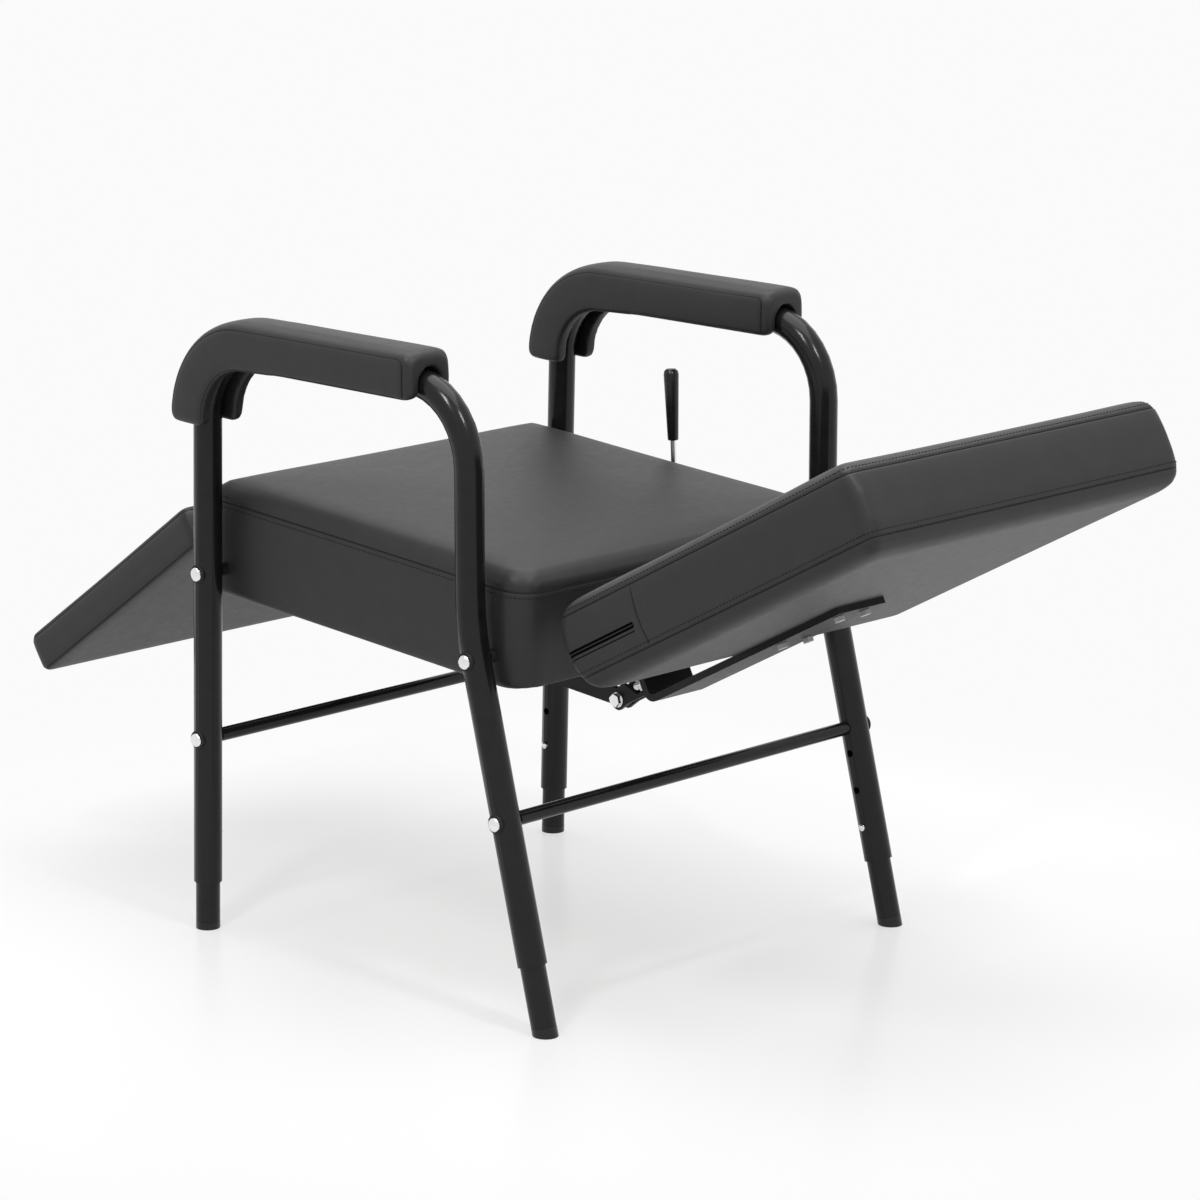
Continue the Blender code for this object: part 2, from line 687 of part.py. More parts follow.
def seat_frame(cushion_solid, rail_x, rail_y, seat_datum):
    """The steel ring under the seat board, with welded ears for the two hinges."""
    low, high = SEAT_FRAME_LOW, SEAT_FRAME_LOW + SEAT_FRAME_HEIGHT
    ring = block("seat_frame", (-rail_x, -rail_y, low), (rail_x, rail_y, high), PAINT, seat_datum)
    inner_x, inner_y = rail_x - SEAT_FRAME_WIDTH, rail_y - SEAT_FRAME_WIDTH
    window = block("seat_window", (-inner_x, -inner_y, low - DRILL), (inner_x, inner_y, high + DRILL),
                   None, seat_datum, True)
    cut(ring, window)
    for spot in (FRAME_BOLTS["front_upper"], FRAME_BOLTS["rear_upper"]):
        y, z = seat_place(*spot)
        for sign in SIDES.values():
            ends = (sign * (rail_x - 0.7 * SEAT_FRAME_WIDTH), y, z), (sign * (rail_x + DRILL), y, z)
            drill(ring, *ends, BOLT_SHANK_RADIUS + GAP, seat_datum)
    hinges = {"rear": (BACK_HINGE_Y, BACK_HINGE_Z, 1), "front": (LEG_HINGE_Y, LEG_HINGE_Z, -1)}
    for which, (hinge_y, hinge_z, facing) in hinges.items():
        eye = seat_place(hinge_y, hinge_z)
        for label, sign in SIDES.items():
            near = sign * (HINGE_X + HINGE_PLATE + RUNNING_GAP)
            far = near + sign * HINGE_PLATE
            name = f"{which}_{label}_ear"
            outline = ear_outline(eye, facing, rail_y, low, high)
            ear = plate(name, outline, near, far, None, seat_datum, True)
            weld(ring, ear)
            inside, outside = facing * (rail_y - DRILL), facing * (SEAT_DEPTH / 2 + DRILL)
            slot_low = (min(near, far) - GAP, min(inside, outside), -DRILL)
            slot_high = (max(near, far) + GAP, max(inside, outside), eye[1] + HINGE_EYE)
            cut(cushion_solid, block(f"{name}_slot", slot_low, slot_high, None, seat_datum, True))
    for which, (hinge_y, hinge_z, facing) in hinges.items():
        y, z = seat_place(hinge_y, hinge_z)
        for sign in SIDES.values():
            ends = (sign * HINGE_X, y, z), (sign * (HINGE_X + 3 * HINGE_PLATE), y, z)
            drill(ring, *ends, HINGE_PIN_RADIUS + GAP, seat_datum)


def ear_outline(eye, facing, rail_y, low, high):
    """A welded ear: from inside the rail out to an eye on the hinge line."""
    root = facing * (rail_y - EAR_ROOT)
    edge = facing * (rail_y + WELD_OVERLAP)
    reach = math.hypot(eye[0] - edge, eye[1] - high)
    lean = math.degrees(math.atan2(eye[1] - high, facing * (eye[0] - edge)))
    ring = []
    for y, z in arc((0.0, 0.0), HINGE_EYE, lean - 90, lean + 90, 8):
        ring.append((eye[0] + facing * y, eye[1] + z))
    foot, top = low + WELD_OVERLAP, high - WELD_OVERLAP
    shoulder = min(top, low + EAR_WAIST_SHARE * reach + EAR_SHOULDER)
    return [(root, foot), (edge, foot), *ring, (edge, shoulder), (root, top)]


def hinge_pin(name, place, sign, chair):
    """A headed pin through a hinge tongue and the seat frame's ear."""
    start = sign * (HINGE_X - GAP)
    length = 2 * HINGE_PLATE + RUNNING_GAP + 2 * GAP
    profile = [
        (HINGE_HEAD_RADIUS, -HINGE_HEAD),
        (HINGE_HEAD_RADIUS, 0.0),
        (HINGE_PIN_RADIUS, 0.0),
        (HINGE_PIN_RADIUS, length),
        (HINGE_PIN_RADIUS - PIN_CHAMFER, length + PIN_POINT),
    ]
    turned(name, (start, *place), (sign, 0, 0), profile, STEEL, chair, 12)


def tongue(name, sign, outline, finish, parent):
    """A hinge plate whose eye sits on its parent's origin."""
    low, high = sorted((sign * HINGE_X, sign * (HINGE_X + HINGE_PLATE)))
    made = plate(name, outline, low, high, finish, parent)
    ends = (sign * (HINGE_X - DRILL), 0, 0), (sign * (HINGE_X + HINGE_PLATE + DRILL), 0, 0)
    drill(made, *ends, HINGE_PIN_RADIUS + GAP, parent)
    return made


def back_levels():
    """Loops up the backrest's thickness: its lower end is a bullnose, its other edges are rounded."""
    base, thick, nose = -BACK_BELOW_HINGE, BACK_THICKNESS, BULLNOSE_LENGTH
    shares = [
        (0.00, 0.014, 1.00, 0.014),
        (0.06, 0.005, 0.62, 0.005),
        (0.16, 0.000, 0.32, 0.000),
        (0.38, 0.000, 0.05, 0.000),
        (0.60, 0.000, 0.00, 0.000),
        (0.83, 0.000, 0.22, 0.000),
        (0.94, 0.005, 0.52, 0.006),
        (1.00, 0.016, 0.95, 0.018),
    ]
    return [(base + up * thick, side, nose * low, high, 0.001) for up, side, low, high in shares]


def backrest(back_datum):
    low = BACK_FROM_HINGE
    high = low + BACK_LENGTH
    made = cushion("backrest_cushion", BACK_HALF_WIDTH, low, high, BACK_CORNER, back_levels(),
                   BACK_CROWN, back_datum)
    base = -BACK_BELOW_HINGE
    board_half = BACK_HALF_WIDTH - BACK_BOARD_INSET
    board_low = (-board_half, low + BULLNOSE_LENGTH + BACK_BOARD_INSET, base + BACK_BOARD_SKIN)
    board_high = (board_half, high - BACK_BOARD_INSET, base + BACK_BOARD_SKIN + BOARD_THICKNESS)
    pocket_low = (board_low[0] - GAP, board_low[1] - GAP, base - DRILL)
    pocket_high = tuple(side + GAP for side in board_high)
    cut(made, block("back_pocket", pocket_low, pocket_high, None, back_datum, True))
    board = block("backrest_board", board_low, board_high, PLYWOOD, back_datum)
    board_top = board_high[2]
    for label, sign in SIDES.items():
        tongue(f"{label}_back_hinge", sign, back_tongue(board_low[1], board_top), PAINT, back_datum)
        near, far = sign * (HINGE_X - GAP), sign * (HINGE_X + HINGE_PLATE + GAP)
        slot_low = (min(near, far), -DRILL, board_top - WELD_OVERLAP)
        slot_high = (max(near, far), board_low[1] + TONGUE_LENGTH + GAP, HINGE_EYE + SLOT_OVER_EYE)
        cut(made, block(f"{label}_back_slot", slot_low, slot_high, None, back_datum, True))
    back_bracket(board, board_low[1], base, back_datum)


def back_tongue(board_start, board_top):
    """From the hinge eye into the cushion and down onto the board."""
    foot = board_top + GAP
    outline = arc((0.0, 0.0), HINGE_EYE, 60, 250, 8)
    outline += [(board_start - SLOT_OVER_EYE, foot), (board_start + TONGUE_LENGTH, foot)]
    outline += [(board_start + TONGUE_LENGTH, foot + TONGUE_HEIGHT)]
    outline += [(board_start + 0.3 * TONGUE_LENGTH, foot + 2.5 * TONGUE_HEIGHT)]
    return outline


def back_bracket(board, board_start, base, back_datum):
    """The bar under the backrest, bent up at its front, with a clevis for the push rod."""
    top = base - GAP
    low = top - BACK_BAR_THICKNESS
    start, end = BACK_BAR_START, BACK_BAR_START + BACK_BAR_LENGTH
    bend, thick = BACK_BAR_BEND, BACK_BAR_THICKNESS
    centre = (start + bend, low + bend)
    outline = [(end, low), (end, top)]
    outline += arc(centre, bend - thick, 270, 180, 3)
    outline += [(start + thick, low + BACK_BAR_FLANGE), (start, low + BACK_BAR_FLANGE)]
    outline += arc(centre, bend, 180, 270, 5)
    bar = plate("back_bracket", outline, -BACK_BAR_HALF_WIDTH, BACK_BAR_HALF_WIDTH, PAINT, back_datum)
    pin = back_pin_place()
    for label, sign in SIDES.items():
        near = sign * (ROD_THICKNESS / 2 + RUNNING_GAP)
        lug = plate(f"{label}_back_lug", back_lug(pin, start, low), near, near + sign * CLEVIS_PLATE,
                    None, back_datum, True)
        weld(bar, lug)
    reach = ROD_THICKNESS / 2 + CLEVIS_PLATE + DRILL
    drill(bar, (-reach, *pin), (reach, *pin), ROD_PIN_RADIUS + GAP, back_datum)
    bolt_rows = (board_start + BAR_BOLT_FROM_BOARD_EDGE, end - BAR_BOLT_FROM_END)
    for number, row in enumerate(bolt_rows):
        for label, sign in SIDES.items():
            spot = (sign * BAR_BOLT_X, row)
            deep = BACK_BOARD_SKIN + 0.8 * BOARD_THICKNESS
            bar_bolt(f"back_bracket_bolt_{label}_{number + 1}", spot, low, thick + GAP + deep, back_datum)
            for target in (bar, board):
                drill(target, (*spot, low - DRILL), (*spot, base + deep + GAP), BOLT_SHANK_RADIUS + GAP,
                      back_datum)


def back_pin_place():
    """The push rod's rear pin in the backrest's frame."""
    pin = Matrix.Rotation(-BACK_SLOPE, 2) @ Vector((ROD_PIN_FROM_HINGE_Y, ROD_PIN_FROM_HINGE_Z))
    return pin.x, pin.y


def back_lug(pin, start, low):
    """A diamond-shaped tab from the bar's front flange to the push rod's pin."""
    y, z = pin
    outline = arc(pin, CLEVIS_EYE, 250, 75, 8)
    inside, shoulder = start + LUG_FLANGE_OVERLAP, z - LUG_SHOULDER_DROP
    outline += [(y + LUG_RISE_AHEAD, z + LUG_RISE), (y + LUG_SHOULDER_AHEAD, shoulder), (inside, shoulder)]
    outline += [(inside, low + LUG_FOOT_RISE), (y + LUG_FOOT_AHEAD, low + LUG_FOOT_RISE)]
    return outline


def bar_bolt(name, spot, low, depth, parent):
    """A hex-headed bolt up through the bar into the board."""
    profile = [
        (BAR_BOLT_RADIUS, -BAR_BOLT_HEAD - GAP),
        (BAR_BOLT_RADIUS, -GAP),
        (BOLT_SHANK_RADIUS, -GAP),
        (BOLT_SHANK_RADIUS, depth - GAP),
    ]
    turned(name, (*spot, low), (0, 0, 1), profile, STEEL, parent, 12, hexed=(0, 1))


def legrest_levels():
    base, thick = -LEGREST_BELOW_HINGE, LEGREST_THICKNESS
    shares = [
        (0.00, 0.008),
        (0.10, 0.003),
        (0.28, 0.000),
        (0.72, 0.000),
        (0.90, 0.003),
        (1.00, 0.010),
    ]
    return [(base + up * thick, inset, inset, inset, 0.001) for up, inset in shares]


def legrest(leg_datum):
    high = -LEGREST_FROM_HINGE
    low = high - LEGREST_LENGTH
    made = cushion("legrest_cushion", LEGREST_HALF_WIDTH, low, high, LEGREST_CORNER, legrest_levels(),
                   LEGREST_CROWN, leg_datum)
    base = -LEGREST_BELOW_HINGE
    half = LEGREST_HALF_WIDTH - LEGREST_BOARD_INSET
    board_low = (-half, low + LEGREST_BOARD_INSET, base + BACK_BOARD_SKIN)
    board_high = (half, high - LEGREST_BOARD_INSET, base + BACK_BOARD_SKIN + BOARD_THICKNESS)
    pocket_low = (board_low[0] - GAP, board_low[1] - GAP, base - DRILL)
    pocket_high = tuple(side + GAP for side in board_high)
    cut(made, block("legrest_pocket", pocket_low, pocket_high, None, leg_datum, True))
    block("legrest_board", board_low, board_high, PLYWOOD, leg_datum)
    board_top = board_high[2]
    foot = board_top + GAP
    for label, sign in SIDES.items():
        far_end = board_high[1] - TONGUE_LENGTH
        outline = arc((0.0, 0.0), HINGE_EYE, -70, 90, 8)
        outline += [(far_end, foot + TONGUE_HEIGHT), (far_end, foot), (high + DRILL, foot)]
        tongue(f"{label}_legrest_hinge", sign, outline, PAINT, leg_datum)
        near, far = sign * (HINGE_X - GAP), sign * (HINGE_X + HINGE_PLATE + GAP)
        slot_low = (min(near, far), far_end - GAP, board_top - WELD_OVERLAP)
        slot_high = (max(near, far), DRILL, foot + TONGUE_HEIGHT + GAP)
        cut(made, block(f"{label}_legrest_slot", slot_low, slot_high, None, leg_datum, True))
    legrest_bracket(base, leg_datum)


def legrest_pin_place():
    """The push rod's front pin in the legrest's frame."""
    pin = Matrix.Rotation(-LEG_SLOPE, 2) @ Vector((ROD_PIN_FROM_HINGE_Y, ROD_PIN_FROM_HINGE_Z))
    return pin.x, pin.y


def legrest_bracket(base, leg_datum):
    """A bar under the legrest with a clevis that reaches down to the push rod."""
    pin = legrest_pin_place()
    top = base - GAP
    low = top - LEGREST_BAR_THICKNESS
    half = LEGREST_BAR_LENGTH / 2
    bar = block("legrest_bracket", (-LEGREST_BAR_HALF_WIDTH, pin[0] - half, low),
                (LEGREST_BAR_HALF_WIDTH, pin[0] + half, top), PAINT, leg_datum)
    root = CLEVIS_EYE + CLEVIS_ROOT
    for label, sign in SIDES.items():
        near = sign * (ROD_THICKNESS / 2 + RUNNING_GAP)
        foot = low + 2 * WELD_OVERLAP
        outline = arc(pin, CLEVIS_EYE, 180, 360, 8) + [(pin[0] + root, foot), (pin[0] - root, foot)]
        far = near + sign * CLEVIS_PLATE
        lug = plate(f"{label}_legrest_lug", outline, near, far, None, leg_datum, True)
        weld(bar, lug)
    reach = ROD_THICKNESS / 2 + CLEVIS_PLATE + DRILL
    drill(bar, (-reach, *pin), (reach, *pin), ROD_PIN_RADIUS + GAP, leg_datum)


def push_rod(rod_datum):
    """The flat rod from the backrest's clevis to the legrest's, with lock notches along its top."""
    front = Vector((LEG_HINGE_Y - BACK_HINGE_Y, LEG_HINGE_Z - BACK_HINGE_Z))
    length = front.length
    lean = math.pi - math.atan2(front.y, front.x)
    half = ROD_HEIGHT / 2
    pawl_at = rod_notch_start(lean)
    outline = arc((0.0, 0.0), half, 90, -90, 6)
    outline += arc((-length, 0.0), half, 270, 90, 6)
    for i in range(ROD_NOTCHES):
        notch = pawl_at + ROD_NOTCH_PITCH * (i - ROD_NOTCHES + 1)
        floor = half - ROD_NOTCH_DEPTH
        outline += [(notch - ROD_NOTCH_TOP_HALF, half), (notch - ROD_NOTCH_LOW_HALF, floor)]
        outline += [(notch + ROD_NOTCH_LOW_HALF, floor), (notch + ROD_NOTCH_TOP_HALF, half)]
    outline = [tuple(Matrix.Rotation(-lean, 2) @ Vector(point)) for point in outline]
    side = ROD_THICKNESS / 2
    made = plate("push_rod", outline, -side, side, PAINT, rod_datum)
    reach = side + DRILL
    for y, z in ((0.0, 0.0), tuple(front)):
        drill(made, (-reach, y, z), (reach, y, z), ROD_PIN_RADIUS + GAP, rod_datum)


def rod_notch_start(lean):
    """Distance along the rod, from its rear pin, of the point under the lever's shaft."""
    rear_pin = Vector((BACK_HINGE_Y + ROD_PIN_FROM_HINGE_Y, BACK_HINGE_Z + ROD_PIN_FROM_HINGE_Z))
    under = Vector((LEVER_Y, LEVER_Z)) - rear_pin
    return (Matrix.Rotation(lean, 2) @ under).x


def rod_pin(name, place, parent):
    """A headed clevis bolt with its nut end, along X."""
    side = ROD_THICKNESS / 2 + RUNNING_GAP + CLEVIS_PLATE + GAP
    profile = [
        (ROD_PIN_RADIUS, -side - ROD_PIN_TAIL),
        (ROD_PIN_RADIUS, side),
        (ROD_PIN_WASHER_RADIUS, side),
        (ROD_PIN_WASHER_RADIUS, side + ROD_PIN_WASHER),
        (ROD_PIN_HEAD_RADIUS, side + ROD_PIN_WASHER),
        (ROD_PIN_HEAD_RADIUS, side + ROD_PIN_HEAD),
    ]
    turned(name, (0.0, *place), (1, 0, 0), profile, CHROME, parent, 12, hexed=(4, 5))


def lever(lever_datum, seat_datum):
    """A bent rod under the seat that stands up beside it, with a tapered grip and a lock pawl."""
    lean = Matrix.Rotation(LEVER_LEAN, 2)
    up = lean @ Vector((0.0, 1.0))
    bend = LEVER_BEND
    spots = [Vector((LEVER_INNER_X - LEVER_X, 0.0)), Vector((bend, 0.0))]
    for i in range(1, 6):
        angle = math.radians(90 * i / 6)
        spots.append(Vector((bend - bend * math.sin(angle), bend - bend * math.cos(angle))))
    spots += [Vector((0.0, bend)), Vector((0.0, LEVER_TOP))]
    rings = []
    normals = path_normals(spots)
    for spot, normal in zip(spots, normals):
        ring = []
        for i in range(12):
            angle = 2 * math.pi * i / 12
            in_plane = spot + normal * (LEVER_RADIUS * math.cos(angle))
            along = LEVER_RADIUS * math.sin(angle)
            y = up.x * in_plane.y + along * up.y
            z = up.y * in_plane.y - along * up.x
            ring.append((LEVER_X + in_plane.x, y, z))
        rings.append(ring)
    solid("lever_rod", *lofted(rings), CHROME, lever_datum)
    low = LEVER_TOP - GRIP_LENGTH + GRIP_OVER_ROD
    high = low + GRIP_LENGTH
    profile = [
        (GRIP_LOW_RADIUS - GRIP_LOW_ROUND, low),
        (GRIP_LOW_RADIUS, low + 2 * GRIP_LOW_ROUND),
        (GRIP_TOP_RADIUS, high - 1.7 * GRIP_TOP_ROUND),
        (GRIP_TOP_RADIUS - 0.3 * GRIP_TOP_ROUND, high - 0.6 * GRIP_TOP_ROUND),
        (GRIP_TOP_RADIUS - GRIP_TOP_ROUND, high),
    ]
    grip = turned("lever_grip", (LEVER_X, 0, 0), (0, *up), profile, PLASTIC, lever_datum, 16)
    foot = Vector((LEVER_X, *(up * (low - DRILL))))
    head = Vector((LEVER_X, *(up * (LEVER_TOP + GAP))))
    drill(grip, foot, head, LEVER_RADIUS + GAP, lever_datum)
    lock_pawl(lever_datum)
    bearings(seat_datum)


def rod_top_under_lever():
    """Height of the push rod's top edge below the lever's shaft."""
    rear_pin = Vector((BACK_HINGE_Y + ROD_PIN_FROM_HINGE_Y, BACK_HINGE_Z + ROD_PIN_FROM_HINGE_Z))
    slope = (LEG_HINGE_Z - BACK_HINGE_Z) / (LEG_HINGE_Y - BACK_HINGE_Y)
    middle = rear_pin.y + slope * (LEVER_Y - rear_pin.x)
    return LEVER_Z - middle - ROD_HEIGHT / 2 * math.hypot(1.0, slope)


def lock_pawl(lever_datum):
    """A finger on the lever's shaft that stands over the push rod's notches."""
    reach = rod_top_under_lever() - RUNNING_GAP
    outline = arc((0.0, 0.0), PAWL_EYE, 200, -20, 8)
    outline += [(PAWL_TIP_HALF, -reach), (-PAWL_TIP_HALF, -reach)]
    low = -PAWL_THICKNESS / 2
    made = plate("lock_pawl", outline, low, low + PAWL_THICKNESS, STEEL, lever_datum)
    drill(made, (low - DRILL, 0, 0), (low + PAWL_THICKNESS + DRILL, 0, 0), LEVER_RADIUS + GAP, lever_datum)


def bearings(seat_datum):
    """Two hangers under the seat that carry the lever's shaft."""
    y, z = seat_place(LEVER_Y, LEVER_Z)
    half = BEARING_HALF_WIDTH
    hangers = {
        "outer_lever_bearing": (SEAT_FRAME_WIDTH / 2 - seat_rail_x(), SEAT_FRAME_LOW - GAP),
        "inner_lever_bearing": (INNER_BEARING_X, SEAT_FRAME_LOW + SEAT_FRAME_HEIGHT),
    }
    for name, (x, top) in hangers.items():
        outline = arc((y, z), half, 180, 360, 8) + [(y + half, top), (y - half, top)]
        made = plate(name, outline, x - BEARING_THICKNESS / 2, x + BEARING_THICKNESS / 2, PAINT, seat_datum)
        reach = BEARING_THICKNESS / 2 + DRILL
        drill(made, (x - reach, y, z), (x + reach, y, z), LEVER_RADIUS + GAP, seat_datum)


def main():
    clear_scene()
    chair = datum("chair", (0.0, CHAIR_Y, 0.0))
    seat_datum = datum("seat_datum", (0.0, SEAT_Y, SEAT_BOTTOM_Z), SEAT_TILT, chair)
    back_datum = datum("back_datum", (0.0, BACK_HINGE_Y, BACK_HINGE_Z), BACK_SLOPE, chair)
    leg_datum = datum("legrest_datum", (0.0, LEG_HINGE_Y, LEG_HINGE_Z), LEG_SLOPE, chair)
    rear_pin = (BACK_HINGE_Y + ROD_PIN_FROM_HINGE_Y, BACK_HINGE_Z + ROD_PIN_FROM_HINGE_Z)
    front_pin = (LEG_HINGE_Y + ROD_PIN_FROM_HINGE_Y, LEG_HINGE_Z + ROD_PIN_FROM_HINGE_Z)
    rod_datum = datum("rod_datum", (0.0, *rear_pin), 0.0, chair)
    lever_datum = datum("lever_datum", (0.0, LEVER_Y, LEVER_Z), 0.0, chair)
    for label, sign in SIDES.items():
        side_frame(label, sign, chair)
        arm_pad(label, sign, chair)
        for which in LEGS:
            leg_end(label, which, sign, chair)
        hinge_pin(f"{label}_back_hinge_pin", (BACK_HINGE_Y, BACK_HINGE_Z), sign, chair)
        hinge_pin(f"{label}_legrest_hinge_pin", (LEG_HINGE_Y, LEG_HINGE_Z), sign, chair)
    crossbar("front_crossbar", front_leg(FRONT_CROSSBAR_Z), chair)
    crossbar("rear_crossbar", rear_leg(REAR_CROSSBAR_Z), chair)
    frame_bolts(chair)
    seat(seat_datum)
    backrest(back_datum)
    legrest(leg_datum)
    push_rod(rod_datum)
    rod_pin("back_clevis_bolt", rear_pin, chair)
    rod_pin("legrest_clevis_bolt", front_pin, chair)
    lever(lever_datum, seat_datum)


main()
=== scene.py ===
"""Looks of the reclining shampoo chair: upholstery, finishes, floor, light and camera."""

import json
import math

import bmesh
import bpy
import numpy as np
from mathutils import Matrix, Vector
from mathutils.bvhtree import BVHTree
from mathutils.kdtree import KDTree


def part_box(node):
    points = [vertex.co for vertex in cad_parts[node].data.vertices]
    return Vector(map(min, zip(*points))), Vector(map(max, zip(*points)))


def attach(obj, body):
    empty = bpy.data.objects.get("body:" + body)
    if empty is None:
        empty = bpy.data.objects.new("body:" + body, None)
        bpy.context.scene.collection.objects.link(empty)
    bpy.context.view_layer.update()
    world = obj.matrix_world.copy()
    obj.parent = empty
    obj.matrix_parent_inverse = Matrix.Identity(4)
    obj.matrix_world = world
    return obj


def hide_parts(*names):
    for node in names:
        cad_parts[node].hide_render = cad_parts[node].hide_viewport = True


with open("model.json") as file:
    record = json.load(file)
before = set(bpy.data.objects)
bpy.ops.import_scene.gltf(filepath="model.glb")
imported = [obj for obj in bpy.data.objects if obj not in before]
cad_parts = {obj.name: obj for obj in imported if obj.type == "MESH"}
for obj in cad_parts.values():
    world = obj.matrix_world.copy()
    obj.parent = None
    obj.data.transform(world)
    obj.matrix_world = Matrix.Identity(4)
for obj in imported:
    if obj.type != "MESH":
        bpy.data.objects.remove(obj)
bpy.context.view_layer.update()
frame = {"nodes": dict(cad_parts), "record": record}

# Places of the upholstered pieces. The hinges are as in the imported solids, and the seat leans a little more
CHAIR_Y = -0.05197
FRAME_X = 0.275
TUBE_RADIUS = 0.016
ARM_Z = 0.6735
ARM_BEND_RADIUS = 0.085
FRONT_FOOT_Y = -0.250 + CHAIR_Y
FRONT_LEG_LEAN = math.radians(1.70)


def tilted_place(y, z, degrees):
    """A cushion's place on the chair's middle plane, turned about the X axis."""
    return Matrix.Translation((0, y + CHAIR_Y, z)) @ Matrix.Rotation(math.radians(degrees), 4, "X")


SEAT_PLACE = tilted_place(-0.014, 0.3709, -3.75)
BACK_PLACE = tilted_place(0.245, 0.420, 28.2)
LEGREST_PLACE = tilted_place(-0.280, 0.462, 35.0)
SIDES = (("left", 1), ("right", -1))

# Seat, in its own frame
SEAT_HALF_WIDTH = 0.2505
SEAT_REACH = 0.2425
SEAT_CORNER = 0.035
SEAT_FRONT_CORNER = 0.012
SEAT_FRONT_PROUD = 0.010
SEAT_HEM = 0.0035
SEAT_SEAM_HEIGHT = 0.1035
SEAT_EDGE_HEIGHT = 0.1275
SEAT_SEAM_DRAW = 0.0015
SEAT_CROWN = 0.0060
SEAT_HOLD = (-0.002, 0.014)
SEAT_SWELL = 0.003
SEAT_VOXEL = 0.005

# Backrest, in its own frame at the hinge
BACK_HALF_WIDTH = 0.245
BACK_LOW = 0.0303
BACK_HIGH = 0.4928
BACK_BASE = -0.0833
BACK_THICKNESS = 0.1000
BACK_CORNER = 0.014
BACK_NOSE = 0.030
BACK_DRAW = 0.0015
BACK_CROWN = 0.0075
BACK_SEAMS = (-0.0653, 0.0022)
BACK_STITCH_ABOVE_SEAM = 0.0058
BACK_HOLD = (-0.004, 0.012)
BACK_SWELL = 0.003
BACK_VOXEL = 0.006

# Seam of the zip's end panel, as (along, up) spots on the backrest's side
PANEL_SEAM = ((0.1560, 0.0010), (0.1538, -0.0140), (0.1520, -0.0300), (0.1521, -0.0450), (0.1555, -0.0640))
PANEL_SEAM_RADIUS = 0.0006

# Zip round the backrest's lower end
ZIP_MIDDLE = -0.0375
ZIP_HALF_WIDTH = 0.0042
ZIP_DEPTH = 0.0014
ZIP_END = 0.1427
ZIP_CORD_SIDES = 8

# Legrest, in its own frame at the hinge
LEGREST_HALF_WIDTH = 0.239
LEGREST_HIGH = -0.030
LEGREST_LOW = -0.3825
LEGREST_BASE = -0.0137
LEGREST_THICKNESS = 0.0416
LEGREST_CORNER = 0.010
LEGREST_DRAW = 0.001
LEGREST_CROWN = 0.0045
LEGREST_SEAMS = (0.0, 0.98)
LEGREST_HOLD = (0.60, 0.85)
LEGREST_SWELL = 0.002
LEGREST_VOXEL = 0.005

# Arm pads
PAD_HALF_WIDTH = 0.032
PAD_ABOVE_TUBE = 0.0335
PAD_BELOW_TUBE = 0.0170
PAD_AHEAD_OF_LEG = 0.0320
PAD_BEHIND_LEG = 0.0250
PAD_CORNER = 0.012
PAD_LIP = 0.004
PAD_REAR_Y = 0.1245 + CHAIR_Y
PAD_LOWER_Z = 0.585
PAD_SEAM_DROP = 0.006
PAD_END_SEAM = 0.010
PAD_SEAM_CORNER = 0.010
PAD_LIP_SEAM = 0.0012
PAD_LIP_SEAM_RADIUS = 0.0005
PAD_CROWN = 0.0015
PAD_SIDE_BULGE = 0.0006
PAD_SIDE_SHARES = (0.3, 0.65)
PAD_GROOVE_GAP = 0.0006
PAD_ROUND_END = 0.010
PAD_END_INSET = 0.006
PAD_LEG_STEP = 0.004
PAD_BEND_STEPS = 24
PAD_ARM_STEP = 0.006
PAD_HOLD = (0.004, 0.011)
PAD_SWELL = 0.0015
PAD_VOXEL = 0.004

# Seat pocket, open below, and the edges of solids that stay crisp
POCKET_HALF_WIDTH = 0.2328
POCKET_REACH = 0.2348
POCKET_HEIGHT = 0.0576
POCKET_CORNER = 0.012
CRISP_ANGLE = math.radians(38)
JOIN_DISTANCE = 1e-5

# Outlines of the cushions
LEAST_CORNER = 0.002
MOST_CORNER_SHARE = 0.9
CORNER_STEPS = 8
EDGE_STEPS = 14
DRAW_POWER = 0.8
CROWN_STEPS = 7
CROWN_REACH = 0.86
CROWN_ROUNDING = 0.4
CROWN_LEAST_CORNER = 0.004

# Cloth runs
CLOTH_FRAMES = 12
CLOTH_PRESSURE = 4.0
LEAST_WEIGHT = 0.01
EVEN_ROUNDS = 30

# Sewing
STITCH_PITCH = 0.0050
STITCH_LENGTH = 0.0040
STITCH_RADIUS = 0.0006
STITCH_PROFILE = ((-0.5, 0.35, -0.0003), (-0.25, 1.0, 0.0001), (0.25, 1.0, 0.0001), (0.5, 0.35, -0.0003))
STITCH_BELOW_SEAM = 0.0055
SEAM_DEPTH = 0.0010
SEAM_WIDTH = 0.0016
SEAM_BANDS = (0.006, 0.0035)
SEAM_LIFT = 0.0003
SEAM_PITCH = 0.002
SEAM_LABELS = ("lower", "upper")
CORD_PITCH = 0.004
CORD_RADIUS = 0.0007
CORD_SIDES = 6
FINE_SEAM_DEPTH = 0.0009
FINE_SEAM_WIDTH = 0.0020

# Nuts on the front of the bracket's flange, in the backrest's frame
FLANGE_NUT_X = 0.0265
FLANGE_FACE_Y = -0.0886
FLANGE_NUT_Z = -0.0650
NUT_SIDES = 24
HEXAGON_STEP = math.pi / 3

# Washers under the bolts, as (radius, rise from the tube's face) round their section
WASHER_PROFILE = (
    (0.0085, -0.0040), (0.0104, -0.0040), (0.0106, -0.0004), (0.0100, 0.0008), (0.0085, 0.0010),
)
WASHER_SIDES = 32

